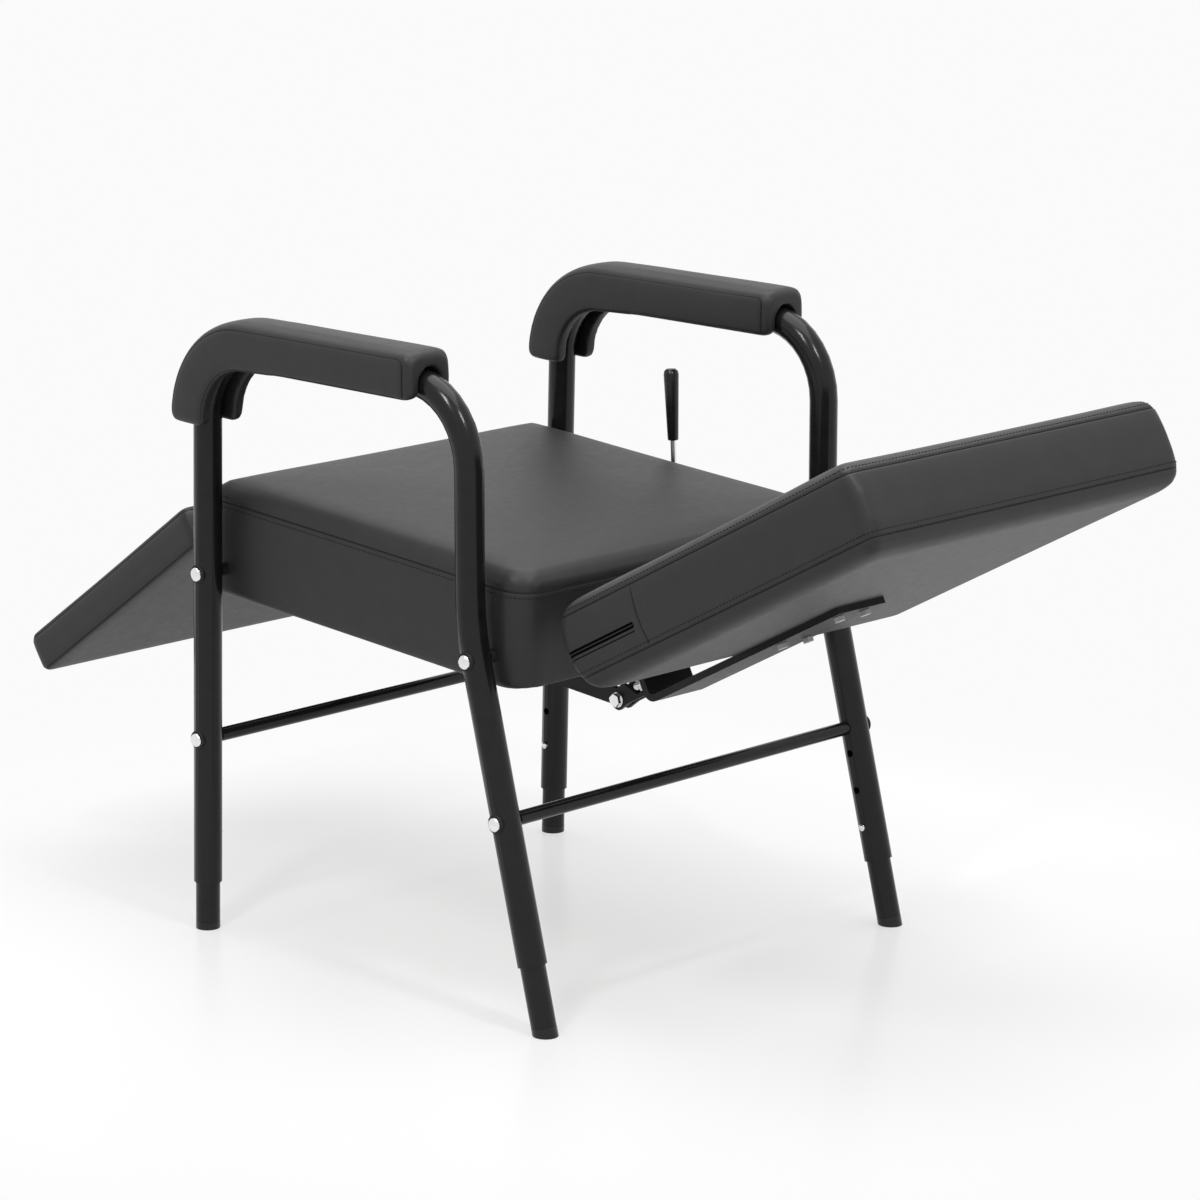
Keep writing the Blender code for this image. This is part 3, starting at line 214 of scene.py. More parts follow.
# Camera of the photograph, in a square picture
CAMERA_EYE = Vector((3.4421, 3.4923 + CHAIR_Y, 1.5275))
CAMERA_TARGET = Vector((-0.1027, CHAIR_Y, 0.3578))
CAMERA_LENS = 135.34
SENSOR = 36.0
FAR_CLIP = 100.0

# Floor, background and lamps, the lamps as (name, place, size, power)
BACKGROUND = 0.96
UNSEEN_LIGHT = 0.55
FLOOR_REACH = 40.0
FLOOR_DROP = 0.0004
FLOOR_COLOUR = (0.93, 0.93, 0.93, 1.0)
FLOOR_FADE = (0.40, 1.20)
FLOOR_LEAST_FADE = 0.60
LAMPS = (
    ("overhead_softbox", (-0.3, -0.2, 2.8), (2.4, 2.4), 50.0),
    ("left_strip", (1.6, 0.4, 2.6), (0.25, 0.55), 20.0),
    ("right_strip", (0.4, 1.8, 2.6), (0.25, 0.55), 20.0),
)


# Materials

class Finish:
    """A Principled material with helpers for its texture nodes, in the object's own metres."""

    NOISE_RANGE = (0.3, 0.7)

    def __init__(self, name, roughness, metallic=0.0, specular=0.5):
        self.made = bpy.data.materials.new(name)
        self.made.use_nodes = True
        self.tree = self.made.node_tree
        self.shader = self.tree.nodes["Principled BSDF"]
        self.shader.inputs["Roughness"].default_value = roughness
        self.shader.inputs["Metallic"].default_value = metallic
        self.shader.inputs["Specular IOR Level"].default_value = specular
        self.coords = self.tree.nodes.new("ShaderNodeTexCoord").outputs["Object"]
        self.bump_out = None

    def node(self, kind, **inputs):
        made = self.tree.nodes.new(kind)
        for key, value in inputs.items():
            self.feed(value, made.inputs[key.replace("_", " ")])
        return made

    def feed(self, value, socket):
        if isinstance(value, bpy.types.NodeSocket):
            self.tree.links.new(value, socket)
        else:
            socket.default_value = value

    def stretched(self, scale):
        mapping = self.node("ShaderNodeMapping", Vector=self.coords)
        mapping.inputs["Scale"].default_value = scale
        return mapping.outputs["Vector"]

    def noise(self, scale, detail, where=None):
        made = self.node("ShaderNodeTexNoise", Vector=where or self.coords, Scale=scale, Detail=detail)
        return made.outputs["Fac"]

    def cells(self, scale):
        return self.node("ShaderNodeTexVoronoi", Vector=self.coords, Scale=scale).outputs["Distance"]

    def between(self, fac, low, high):
        """A number from low to high as fac goes over its middle range."""
        made = self.node("ShaderNodeMapRange", Value=fac)
        ends = (*self.NOISE_RANGE, low, high)
        for key, value in zip(("From Min", "From Max", "To Min", "To Max"), ends):
            made.inputs[key].default_value = value
        return made.outputs["Result"]

    def colours(self, fac, first, second):
        ramp = self.node("ShaderNodeValToRGB", Fac=fac)
        for stop, place, colour in zip(ramp.color_ramp.elements, self.NOISE_RANGE, (first, second)):
            stop.position = place
            stop.color = (*colour, 1.0)
        self.feed(ramp.outputs["Color"], self.shader.inputs["Base Color"])

    def bump(self, height, strength, distance):
        made = self.node("ShaderNodeBump", Height=height, Strength=strength, Distance=distance)
        if self.bump_out:
            self.feed(self.bump_out, made.inputs["Normal"])
        self.bump_out = made.outputs["Normal"]
        self.feed(self.bump_out, self.shader.inputs["Normal"])

    def rough(self, fac, low, high):
        self.feed(self.between(fac, low, high), self.shader.inputs["Roughness"])


def leatherette():
    """Pressed fine grain, with a slow change of tone and sheen."""
    made = Finish("leatherette_grain", 0.48, specular=0.32)
    made.colours(made.noise(35.0, 5.0), (0.0195, 0.0195, 0.020), (0.0225, 0.0225, 0.023))
    made.rough(made.noise(90.0, 4.0), 0.45, 0.50)
    made.bump(made.noise(22.0, 3.0), 0.05, 0.0030)
    made.bump(made.cells(780.0), 0.10, 0.0004)
    made.bump(made.noise(2300.0, 2.0), 0.06, 0.0002)
    return made.made


def black_paint():
    """Powder coat: a faint orange peel and small changes of gloss."""
    made = Finish("satin_powder_coat", 0.20, specular=0.26)
    made.colours(made.noise(60.0, 4.0), (0.006, 0.006, 0.0065), (0.009, 0.009, 0.0095))
    made.rough(made.noise(140.0, 4.0), 0.17, 0.21)
    made.bump(made.noise(420.0, 2.0), 0.004, 0.0003)
    return made.made


def bracket_paint():
    """A duller, thinner coat on the pressed brackets and the rod."""
    made = Finish("satin_bracket_coat", 0.46, specular=0.22)
    made.colours(made.noise(70.0, 4.0), (0.008, 0.008, 0.0085), (0.012, 0.012, 0.0125))
    made.rough(made.noise(150.0, 4.0), 0.42, 0.52)
    made.bump(made.noise(500.0, 2.0), 0.04, 0.0003)
    return made.made


def chrome():
    """Bright plate with finger-mark haze."""
    made = Finish("bright_chrome", 0.10, 1.0)
    made.colours(made.noise(70.0, 3.0), (0.74, 0.74, 0.75), (0.82, 0.82, 0.83))
    made.rough(made.noise(160.0, 5.0), 0.07, 0.17)
    return made.made


def bright_zinc():
    """Fresh bright plate, paler than chrome where little light comes in."""
    made = Finish("bright_zinc", 0.30, 0.55)
    made.colours(made.noise(90.0, 4.0), (0.78, 0.78, 0.79), (0.88, 0.88, 0.89))
    made.rough(made.noise(200.0, 4.0), 0.24, 0.38)
    return made.made


def zinc_steel():
    """Plated steel, finely brushed."""
    made = Finish("zinc_plate", 0.38, 1.0)
    made.colours(made.noise(120.0, 5.0), (0.36, 0.36, 0.355), (0.46, 0.46, 0.455))
    strokes = made.noise(90.0, 4.0, made.stretched((1.0, 14.0, 14.0)))
    made.rough(strokes, 0.30, 0.48)
    made.bump(strokes, 0.12, 0.0002)
    return made.made


def black_plastic():
    """Moulded plastic with a fine spark texture."""
    made = Finish("moulded_plastic", 0.24, specular=0.35)
    made.colours(made.noise(80.0, 4.0), (0.005, 0.005, 0.0055), (0.008, 0.008, 0.0085))
    made.rough(made.noise(300.0, 3.0), 0.20, 0.30)
    made.bump(made.noise(1500.0, 2.0), 0.18, 0.0002)
    return made.made


def plywood():
    """Veneer with grain along the board's width."""
    made = Finish("raw_plywood", 0.75)
    grain = made.noise(16.0, 6.0, made.stretched((1.5, 22.0, 22.0)))
    made.colours(grain, (0.20, 0.14, 0.08), (0.30, 0.22, 0.13))
    made.rough(grain, 0.66, 0.84)
    made.bump(grain, 0.25, 0.0006)
    return made.made


def thread():
    """Twisted sewing thread."""
    made = Finish("sewing_thread", 0.62, specular=0.2)
    made.colours(made.noise(500.0, 2.0), (0.007, 0.007, 0.0075), (0.014, 0.014, 0.0145))
    twist = made.noise(1400.0, 2.0, made.stretched((2.0, 2.0, 5.0)))
    made.bump(twist, 0.35, 0.0003)
    return made.made


def zip_tape_painted_shade():
    """Matt woven tape, deep in a slot, near black and with almost no gloss: painted shade for the zip's
    channel.
    """
    made = Finish("zip_tape_painted_shade", 0.9, specular=0.02)
    made.colours(made.noise(900.0, 2.0), (0.0012, 0.0012, 0.0012), (0.0024, 0.0024, 0.0024))
    made.bump(made.cells(1600.0), 0.2, 0.0003)
    return made.made


def rubber_washer():
    """Dull dark rubber."""
    made = Finish("dark_washer", 0.60, specular=0.3)
    made.colours(made.noise(200.0, 3.0), (0.006, 0.006, 0.006), (0.012, 0.012, 0.012))
    made.bump(made.noise(900.0, 2.0), 0.20, 0.0003)
    return made.made


FINISHES = {
    "black_paint": black_paint(),
    "chrome": chrome(),
    "black_leatherette": leatherette(),
    "plywood": plywood(),
    "black_plastic": black_plastic(),
    "zinc_steel": zinc_steel(),
}
THREAD = thread()
WASHER = rubber_washer()
BRIGHT_ZINC = bright_zinc()
BRACKET_PAINT = bracket_paint()
ZIP_TAPE_PAINTED_SHADE = zip_tape_painted_shade()
BRACKETS = ("back_bracket", "legrest_bracket", "push_rod", "seat_frame", "lock_pawl")


def smooth_by_angle():
    """A modifier's node group that joins faces and shades them smooth, apart from crisp edges."""
    group = bpy.data.node_groups.new("smooth_by_angle", "GeometryNodeTree")
    for side in ("INPUT", "OUTPUT"):
        group.interface.new_socket("Geometry", in_out=side, socket_type="NodeSocketGeometry")
    chain = [
        group.nodes.new("NodeGroupInput"),
        group.nodes.new("GeometryNodeMergeByDistance"),
        group.nodes.new("GeometryNodeRemoveAttribute"),
        group.nodes.new("GeometryNodeSetShadeSmooth"),
        group.nodes.new("GeometryNodeSetShadeSmooth"),
        group.nodes.new("NodeGroupOutput"),
    ]
    for first, second in zip(chain, chain[1:]):
        group.links.new(first.outputs[0], second.inputs[0])
    _, joined, plain, faces, edges, _ = chain
    joined.inputs["Distance"].default_value = JOIN_DISTANCE
    plain.inputs["Name"].default_value = "custom_normal"
    faces.inputs["Shade Smooth"].default_value = True
    edges.domain = "EDGE"
    edges.inputs["Shade Smooth"].default_value = False
    angle = group.nodes.new("GeometryNodeInputMeshEdgeAngle")
    sharp = group.nodes.new("FunctionNodeCompare")
    sharp.operation = "GREATER_THAN"
    sharp.inputs["B"].default_value = CRISP_ANGLE
    group.links.new(angle.outputs["Unsigned Angle"], sharp.inputs["A"])
    group.links.new(sharp.outputs["Result"], edges.inputs["Selection"])
    return group


def dress_solids():
    """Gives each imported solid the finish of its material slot, and smooth shading up to crisp edges."""
    shading = smooth_by_angle()
    for entry in frame["record"]["subparts"]:
        node = frame["nodes"][entry["node"]]
        node.data.materials.clear()
        finish = FINISHES[entry["material_slot"]]
        if entry["node"] in BRACKETS:
            finish = BRACKET_PAINT
        elif entry["node"].endswith("_spacer"):
            finish = WASHER
        node.data.materials.append(finish)
        node.modifiers.new("shading", "NODES").node_group = shading


# Mesh helpers

def mesh_piece(name, points, faces, finish):
    """A smooth piece with one finish, its faces turned outward."""
    mesh = bpy.data.meshes.new(name)
    mesh.from_pydata([tuple(point) for point in points], [], faces)
    shape = bmesh.new()
    shape.from_mesh(mesh)
    bmesh.ops.recalc_face_normals(shape, faces=shape.faces)
    shape.to_mesh(mesh)
    shape.free()
    mesh.shade_smooth()
    mesh.materials.append(finish)
    made = bpy.data.objects.new(name, mesh)
    bpy.context.scene.collection.objects.link(made)
    return made


def lofted(rings, closed=False):
    """Points and faces of rings joined one to the next; open runs get end faces."""
    count = len(rings[0])
    points = [point for ring in rings for point in ring]
    faces = []
    rows = len(rings) if closed else len(rings) - 1
    for row in range(rows):
        low, high = row * count, (row + 1) % len(rings) * count
        for i in range(count):
            j = (i + 1) % count
            faces.append((low + i, low + j, high + j, high + i))
    if not closed:
        faces.append(tuple(range(count)))
        faces.append(tuple(range((len(rings) - 1) * count, len(rings) * count)))
    return points, faces


def arc(centre, radius, start, end, steps):
    """Points on an arc between two angles in degrees."""
    found = []
    for i in range(steps + 1):
        angle = math.radians(start + (end - start) * i / steps)
        found.append((centre[0] + radius * math.cos(angle), centre[1] + radius * math.sin(angle)))
    return found


def cushion_loop(half, low, high, corner, height, drawn=0.0, low_corner=None):
    """One loop round a cushion: a rounded rectangle whose sides are drawn in between the corners.

    The two corners at the low end have the radius low_corner, where it is given.
    """
    middle, reach = (low + high) / 2, (high - low) / 2
    at_high, at_low = (
        min(max(radius, LEAST_CORNER), MOST_CORNER_SHARE * half, MOST_CORNER_SHARE * reach)
        for radius in (corner, corner if low_corner is None else low_corner)
    )
    radii = (at_high, at_high, at_low, at_low)
    centres = [(half - at_high, high - at_high), (at_high - half, high - at_high),
               (at_low - half, low + at_low), (half - at_low, low + at_low)]
    loop = []
    for quarter, centre in enumerate(centres):
        start, end = 90 * quarter, 90 * quarter + 90
        turn = arc(centre, radii[quarter], start, end, CORNER_STEPS)
        after = (quarter + 1) % 4
        follow = arc(centres[after], radii[after], end, end, 1)[0]
        loop += turn
        for i in range(1, EDGE_STEPS):
            share = i / EDGE_STEPS
            x = turn[-1][0] + (follow[0] - turn[-1][0]) * share
            y = turn[-1][1] + (follow[1] - turn[-1][1]) * share
            pull = drawn * math.sin(math.pi * share) ** DRAW_POWER
            if quarter % 2:
                x -= math.copysign(pull, x)
            else:
                y -= math.copysign(pull, y - middle)
            loop.append((x, y))
    return [Vector((x, y, height)) for x, y in loop]


def crown_loops(half, low, high, corners, height, rise):
    """Loops that close a cushion's top over a shallow dome, from its (high, low) corners."""
    span = min(half, (high - low) / 2)
    loops = []
    for i in range(1, CROWN_STEPS + 1):
        share = i / CROWN_STEPS
        more = CROWN_REACH * span * share
        lift = rise * math.sin(math.pi / 2 * share)
        at_high, at_low = (corner + CROWN_ROUNDING * more for corner in corners)
        loops.append(
            cushion_loop(half - more, low + more, high - more, at_high, height + lift, low_corner=at_low)
        )
    return loops


def cushion_piece(name, place, levels, half, low, high, corner, rise, first=(), low_corner=None):
    """A closed cushion from (height, side inset, low inset, high inset, draw) levels and a crown.

    Loops in first come before the levels, such as those of a pocket in the underside.
    """
    loops = list(first)
    corners = (corner, corner if low_corner is None else low_corner)
    for height, side, low_in, high_in, drawn in levels:
        at_high, at_low = (radius - min(side, low_in, high_in) for radius in corners)
        shape = (half - side, low + low_in, high - high_in)
        loops.append(cushion_loop(*shape, at_high, height, drawn, at_low))
    height, side, low_in, high_in, _ = levels[-1]
    top_corners = [max(radius - side, CROWN_LEAST_CORNER) for radius in corners]
    loops += crown_loops(half - side, low + low_in, high - high_in, top_corners, height, rise)
    rings = [[place @ point for point in loop] for loop in loops]
    return mesh_piece(name, *lofted(rings), FINISHES["black_leatherette"])


def coordinates(mesh):
    values = np.empty(3 * len(mesh.vertices))
    mesh.vertices.foreach_get("co", values)
    return values.reshape(-1, 3)


def set_coordinates(mesh, values):
    mesh.vertices.foreach_set("co", values.ravel())
    mesh.update()


def normals_of(mesh):
    values = np.empty(3 * len(mesh.vertices))
    mesh.vertex_normals.foreach_get("vector", values)
    return values.reshape(-1, 3)


def bake(piece):
    """Puts the result of a piece's modifiers into its own mesh."""
    evaluated = piece.evaluated_get(bpy.context.evaluated_depsgraph_get())
    mesh = bpy.data.meshes.new_from_object(evaluated)
    piece.modifiers.clear()
    piece.data = mesh
    mesh.shade_smooth()


def remesh(piece, voxel):
    step = piece.modifiers.new("even_mesh", "REMESH")
    step.mode = "VOXEL"
    step.voxel_size = voxel
    bake(piece)


def subdivide(piece):
    step = piece.modifiers.new("finer_mesh", "SUBSURF")
    step.levels = 1
    step.render_levels = 1
    bake(piece)


def evened(mesh, moves, rounds):
    """Moves of a mesh's points, each averaged with its neighbours' for some rounds."""
    pairs = np.empty(2 * len(mesh.edges), dtype=np.int32)
    mesh.edges.foreach_get("vertices", pairs)
    first, second = pairs.reshape(-1, 2).T
    shares = np.bincount(pairs, minlength=len(mesh.vertices))[:, None]
    for _ in range(rounds):
        total = np.zeros_like(moves)
        np.add.at(total, first, moves[second])
        np.add.at(total, second, moves[first])
        moves = 0.5 * moves + 0.5 * total / shares
    return moves


def plump(piece, place, held, cap):
    """Swells a cushion by a short cloth run. Points whose local place is held stay; none moves past cap."""
    mesh = piece.data
    rest = coordinates(mesh)
    to_local = np.array(place.inverted())
    local = rest @ to_local[:3, :3].T + to_local[:3, 3]
    weights = held(local)
    group = piece.vertex_groups.new(name="held")
    for index in np.nonzero(weights > LEAST_WEIGHT)[0]:
        group.add([int(index)], float(weights[index]), "REPLACE")
    step = piece.modifiers.new("plump", "CLOTH")
    step.settings.quality = 3
    step.settings.mass = 0.3
    step.settings.tension_stiffness = 12.0
    step.settings.compression_stiffness = 12.0
    step.settings.bending_stiffness = 1.5
    step.settings.vertex_group_mass = "held"
    step.settings.use_pressure = True
    step.settings.uniform_pressure_force = CLOTH_PRESSURE
    step.settings.effector_weights.gravity = 0.0
    step.collision_settings.use_collision = False
    step.point_cache.frame_start = 1
    step.point_cache.frame_end = CLOTH_FRAMES
    scene = bpy.context.scene
    for number in range(1, CLOTH_FRAMES + 1):
        scene.frame_set(number)
    evaluated = piece.evaluated_get(bpy.context.evaluated_depsgraph_get())
    moved = coordinates(evaluated.data) - rest
    piece.modifiers.clear()
    piece.vertex_groups.clear()
    scene.frame_set(1)
    moved = evened(mesh, moved, EVEN_ROUNDS) * (1.0 - weights)[:, None]
    length = np.linalg.norm(moved, axis=1, keepdims=True)
    set_coordinates(mesh, rest + moved * cap / (cap + length))


def soften(piece, place, held, cap, voxel):
    """Even mesh along the cushion's own axes, a cloth run, and one subdivision."""
    piece.data.transform(place.inverted())
    remesh(piece, voxel)
    piece.data.transform(place)
    plump(piece, place, held, cap)
    subdivide(piece)


def near_tree(points):
    """A search tree of points."""
    tree = KDTree(len(points))
    for index, point in enumerate(points):
        tree.insert(point, index)
    tree.balance()
    return tree


def refine(piece, lines, rounds=2):
    """Splits the mesh finer in a band along sewn lines."""
    tree = near_tree([point for line in lines for point in line])
    shape = bmesh.new()
    shape.from_mesh(piece.data)
    for reach in SEAM_BANDS[:rounds]:
        near = {vert for vert in shape.verts if tree.find(vert.co)[2] < reach}
        edges = [edge for edge in shape.edges if edge.verts[0] in near and edge.verts[1] in near]
        bmesh.ops.subdivide_edges(shape, edges=edges, cuts=1, use_grid_fill=True, smooth=0.0)
    shape.to_mesh(piece.data)
    shape.free()
    piece.data.shade_smooth()


def press_seams(piece, lines, depth=SEAM_DEPTH, width=SEAM_WIDTH):
    """Draws the cover in along sewn lines."""
    tree = near_tree([point for line in lines for point in line])
    mesh = piece.data
    rest = coordinates(mesh)
    away = np.array([tree.find(point)[2] for point in rest])
    dip = depth * np.exp(-((away / width) ** 2))
    set_coordinates(mesh, rest - normals_of(mesh) * dip[:, None])


def spaced(line, pitch, closed):
    """Points at an even pitch along a line."""
    points = list(line) + ([line[0]] if closed else [])
    found = []
    carry = 0.0
    for start, end in zip(points, points[1:]):
        way = end - start
        at = carry
        while at < way.length:
            found.append(start + way * (at / way.length))
            at += pitch
        carry = at - way.length
    return found


def surface_of(piece):
    """A search tree of a piece's faces."""
    mesh = piece.data
    return BVHTree.FromPolygons([v.co for v in mesh.vertices], [tuple(p.vertices) for p in mesh.polygons])


def laid_on(surface, line, lift):
    """A line's points moved to a surface, each with the surface's normal there."""
    found = []
    for point in line:
        spot, normal, _, _ = surface.find_nearest(point)
        found.append((spot + normal * lift, normal))
    return found


def ring_of(centre, across, out, radius, sides, flat=1.0):
    """Points round a centre, in the plane of two directions and flattened along the second."""
    ring = []
    for k in range(sides):
        angle = 2 * math.pi * k / sides
        ring.append(centre + across * (radius * math.cos(angle)) + out * (flat * radius * math.sin(angle)))
    return ring


def cord_rings(spots, radius, sides=CORD_SIDES, flat=1.0):
    """Rings round a chain of (place, normal) spots."""
    rings = []
    for i, (spot, normal) in enumerate(spots):
        ahead = spots[min(i + 1, len(spots) - 1)][0]
        behind = spots[max(i - 1, 0)][0]
        way = (ahead - behind).normalized()
        side = way.cross(normal).normalized()
        rings.append(ring_of(spot, side, side.cross(way), radius, sides, flat))
    return rings


def seam_cord(name, surface, line, body, closed=True, radius=CORD_RADIUS, depth=SEAM_DEPTH):
    """The dark fold that shows in the bottom of a seam pressed to a depth below the surface."""
    spots = laid_on(surface, spaced(line, CORD_PITCH, closed), SEAM_LIFT - depth)
    made = mesh_piece(name, *lofted(cord_rings(spots, radius), closed), THREAD)
    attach(made, body)


def stitch_row(name, surface, line, body):
    """Separate stitches along a closed line, each a short tapered bead of thread."""
    points, faces = [], []
    spots = laid_on(surface, spaced(line, STITCH_PITCH, True), 0.0)
    for (spot, normal), (after, _) in zip(spots, spots[1:] + spots[:1]):
        way = (after - spot).normalized()
        side = way.cross(normal).normalized()
        rings = []
        for along, size, lift in STITCH_PROFILE:
            place = spot + way * (along * STITCH_LENGTH) + normal * lift
            rings.append(ring_of(place, side, normal, STITCH_RADIUS * size, CORD_SIDES))
        more_points, more_faces = lofted(rings)
        first = len(points)
        points += more_points
        faces += [tuple(first + index for index in face) for face in more_faces]
    made = mesh_piece(name, points, faces, THREAD)
    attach(made, body)


def finish_cushion(piece, body, node):
    """Makes a cover the soft piece that stands for its solid."""
    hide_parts(node)
    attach(piece, body)


def placed(place, loop):
    return [place @ point for point in loop]


# Upholstery

def smooth_step(value, low, high):
    """From 0 to 1 as the value goes from low to high, with level ends."""
    share = np.clip((value - low) / (high - low), 0.0, 1.0)
    return share * share * (3 - 2 * share)


def held_below(height, reach):
    """Weights for plump: held under a height in the cushion's frame, eased over a reach round it."""
    return lambda local: 1.0 - smooth_step(local[:, 2], height + reach[0], height + reach[1])


def seat():
    """The box seat: a hemmed skirt with a pocket below, a sewn line round it, and a domed top."""
    seam, edge = SEAT_SEAM_HEIGHT, SEAT_EDGE_HEIGHT
    rise = edge - seam
    half, rear = SEAT_HALF_WIDTH, SEAT_REACH
    front = -SEAT_REACH - SEAT_FRONT_PROUD
    levels = [
        (-SEAT_HEM, 0.006, 0.006, 0.006, 0.0010),
        (0.002 - SEAT_HEM, 0.002, 0.002, 0.002, 0.0012),
        (0.006 - SEAT_HEM, 0.0, 0.0, 0.0, 0.0015),
        (0.35 * seam, -0.002, 0.0, -0.001, 0.0025),
        (0.70 * seam, -0.002, 0.0, -0.001, 0.0025),
        (seam - 0.004, 0.0, 0.0, 0.0, 0.0015),
        (seam, 0.001, 0.001, 0.001, 0.0015),
        (seam + 0.004, 0.0, 0.0, 0.0, 0.0015),
        (seam + 0.35 * rise, 0.0006, 0.0006, 0.0006, 0.0015),
        (seam + 0.65 * rise, 0.0045, 0.0045, 0.0045, 0.0012),
        (seam + 0.88 * rise, 0.011, 0.011, 0.011, 0.0008),
        (edge, 0.020, 0.020, 0.020, 0.0),
    ]
    pocket = [
        cushion_loop(POCKET_HALF_WIDTH, -POCKET_REACH, POCKET_REACH, POCKET_CORNER, height)
        for height in (POCKET_HEIGHT, 0.5 * POCKET_HEIGHT, -SEAT_HEM)
    ]
    made = cushion_piece(
        "seat_upholstery", SEAT_PLACE, levels, half, front, rear, SEAT_CORNER, SEAT_CROWN, pocket,
        SEAT_FRONT_CORNER,
    )

    def round_line(height):
        loop = cushion_loop(half, front, rear, SEAT_CORNER, height, SEAT_SEAM_DRAW, SEAT_FRONT_CORNER)
        return placed(SEAT_PLACE, loop)

    soften(made, SEAT_PLACE, held_below(seam, SEAT_HOLD), SEAT_SWELL, SEAT_VOXEL)
    seam_line = round_line(seam)
    even_line = spaced(seam_line, SEAM_PITCH, True)
    surface = surface_of(made)
    refine(made, [even_line])
    press_seams(made, [even_line])
    seam_cord("seat_seam", surface, seam_line, "chair")
    stitch_row("seat_stitches", surface, round_line(seam - STITCH_BELOW_SEAM), "chair")
    finish_cushion(made, "chair", "seat_cushion")


def inset_at(levels, height):
    """Insets of a cushion's outline at a height, read between its levels."""
    heights = [level[0] for level in levels]
    return [float(np.interp(height, heights, [level[k] for level in levels])) for k in (1, 2, 3, 4)]


def backrest():
    """The backrest: a rounded block with a sewn line below and above, and a zip round its lower end."""
    base, thick, nose = BACK_BASE, BACK_THICKNESS, BACK_NOSE
    # Share of the thickness, side inset, share of the nose at the low end, inset at the high end
    shares = [
        (0.00, 0.024, 1.00, 0.030),
        (0.01, 0.017, 0.92, 0.023),
        (0.03, 0.011, 0.78, 0.016),
        (0.07, 0.005, 0.58, 0.010),
        (0.12, 0.0015, 0.43, 0.006),
        (0.16, 0.0005, 0.32, 0.004),
        (0.27, 0.000, 0.16, 0.001),
        (0.38, 0.000, 0.05, 0.000),
        (0.50, 0.000, 0.01, 0.000),
        (0.60, 0.000, 0.00, 0.000),
        (0.72, 0.000, 0.07, 0.001),
        (0.83, 0.001, 0.22, 0.003),
        (0.90, 0.003, 0.40, 0.006),
        (0.96, 0.008, 0.64, 0.011),
        (1.00, 0.017, 0.95, 0.020),
    ]
    levels = [(base + up * thick, side, nose * low, high, BACK_DRAW) for up, side, low, high in shares]
    half, low, high = BACK_HALF_WIDTH, BACK_LOW, BACK_HIGH
    shape = (half, low, high, BACK_CORNER, BACK_CROWN)
    made = cushion_piece("backrest_upholstery", BACK_PLACE, levels, *shape)
    soften(made, BACK_PLACE, held_below(BACK_SEAMS[1], BACK_HOLD), BACK_SWELL, BACK_VOXEL)

    def round_line(height):
        side, low_in, high_in, drawn = inset_at(levels, height)
        loop = cushion_loop(half - side, low + low_in, high - high_in, BACK_CORNER, height, drawn)
        return placed(BACK_PLACE, loop)

    seams = [round_line(height) for height in BACK_SEAMS]
    panels = {label: back_panel_seam(sign) for label, sign in SIDES}
    even_seams = [spaced(line, SEAM_PITCH, True) for line in seams]
    even_panels = [spaced(line, SEAM_PITCH, False) for line in panels.values()]
    channel = zip_part(round_line(ZIP_MIDDLE))
    surface = surface_of(made)
    refine(made, even_seams + even_panels + [channel])
    press_seams(made, even_seams)
    press_seams(made, even_panels, FINE_SEAM_DEPTH, FINE_SEAM_WIDTH)
    press_seams(made, [channel], ZIP_DEPTH, ZIP_HALF_WIDTH)
    for label, line, height in zip(SEAM_LABELS, seams, BACK_SEAMS):
        stitch_line = round_line(height + BACK_STITCH_ABOVE_SEAM)
        seam_cord(f"backrest_{label}_seam", surface, line, "back")
        stitch_row(f"backrest_{label}_stitches", surface, stitch_line, "back")
    for label, line in panels.items():
        name = f"backrest_{label}_panel_seam"
        seam_cord(name, surface, line, "back", False, PANEL_SEAM_RADIUS, FINE_SEAM_DEPTH)
    back_zip(surface, channel)
    finish_cushion(made, "back", "backrest_cushion")


def back_panel_seam(sign):
    """The bowed seam on a side, where the zip's end panel is sewn to the side panel."""
    return [BACK_PLACE @ Vector((sign * BACK_HALF_WIDTH, y, z)) for y, z in PANEL_SEAM]


def zip_part(loop):
    """The part of a loop that the zip takes: round the backrest's lower end, from side to side."""
    to_local = BACK_PLACE.inverted()
    found = []
    for point in spaced(loop, SEAM_PITCH, True):
        local = to_local @ point
        if local.y < ZIP_END:
            found.append((math.atan2(local.x, ZIP_END + BACK_HALF_WIDTH - local.y), point))
    found.sort(key=lambda pair: pair[0])
    return [point for _, point in found]


def back_zip(surface, channel):
    """A covered zip in its channel: two tapes, the closed row between them, a sewn lip below, and a line
    under the lip; the tapes and that line are near black, as painted shade in the channel.
    """
    cover = FINISHES["black_leatherette"]
    up = BACK_PLACE.to_3x3() @ Vector((0, 0, 1))
    # The tapes and the line under the lip take the zip tape finish, whose near-black colour is painted shade
    # in the channel.
    # Name, height from the zip's middle, radius, lift, flatness and finish
    bands = (
        ("upper_tape", 0.0025, 0.0021, 0.0004, 0.15, ZIP_TAPE_PAINTED_SHADE),
        ("row", 0.0000, 0.0006, 0.0006, 1.0, cover),
        ("lower_tape", -0.0024, 0.0019, 0.0004, 0.15, ZIP_TAPE_PAINTED_SHADE),
        ("lip", -0.0053, 0.0011, 0.0011, 0.8, cover),
        ("lip_seam", -0.0069, 0.0006, 0.0011, 0.6, ZIP_TAPE_PAINTED_SHADE),
    )
    for label, offset, radius, lift, flat, finish in bands:
        line = [point + up * offset for point in channel]
        chain = laid_on(surface, line, lift - ZIP_DEPTH)
        rings = cord_rings(chain, radius, ZIP_CORD_SIDES, flat)
        made = mesh_piece(f"backrest_zip_{label}", *lofted(rings), finish)
        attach(made, "back")


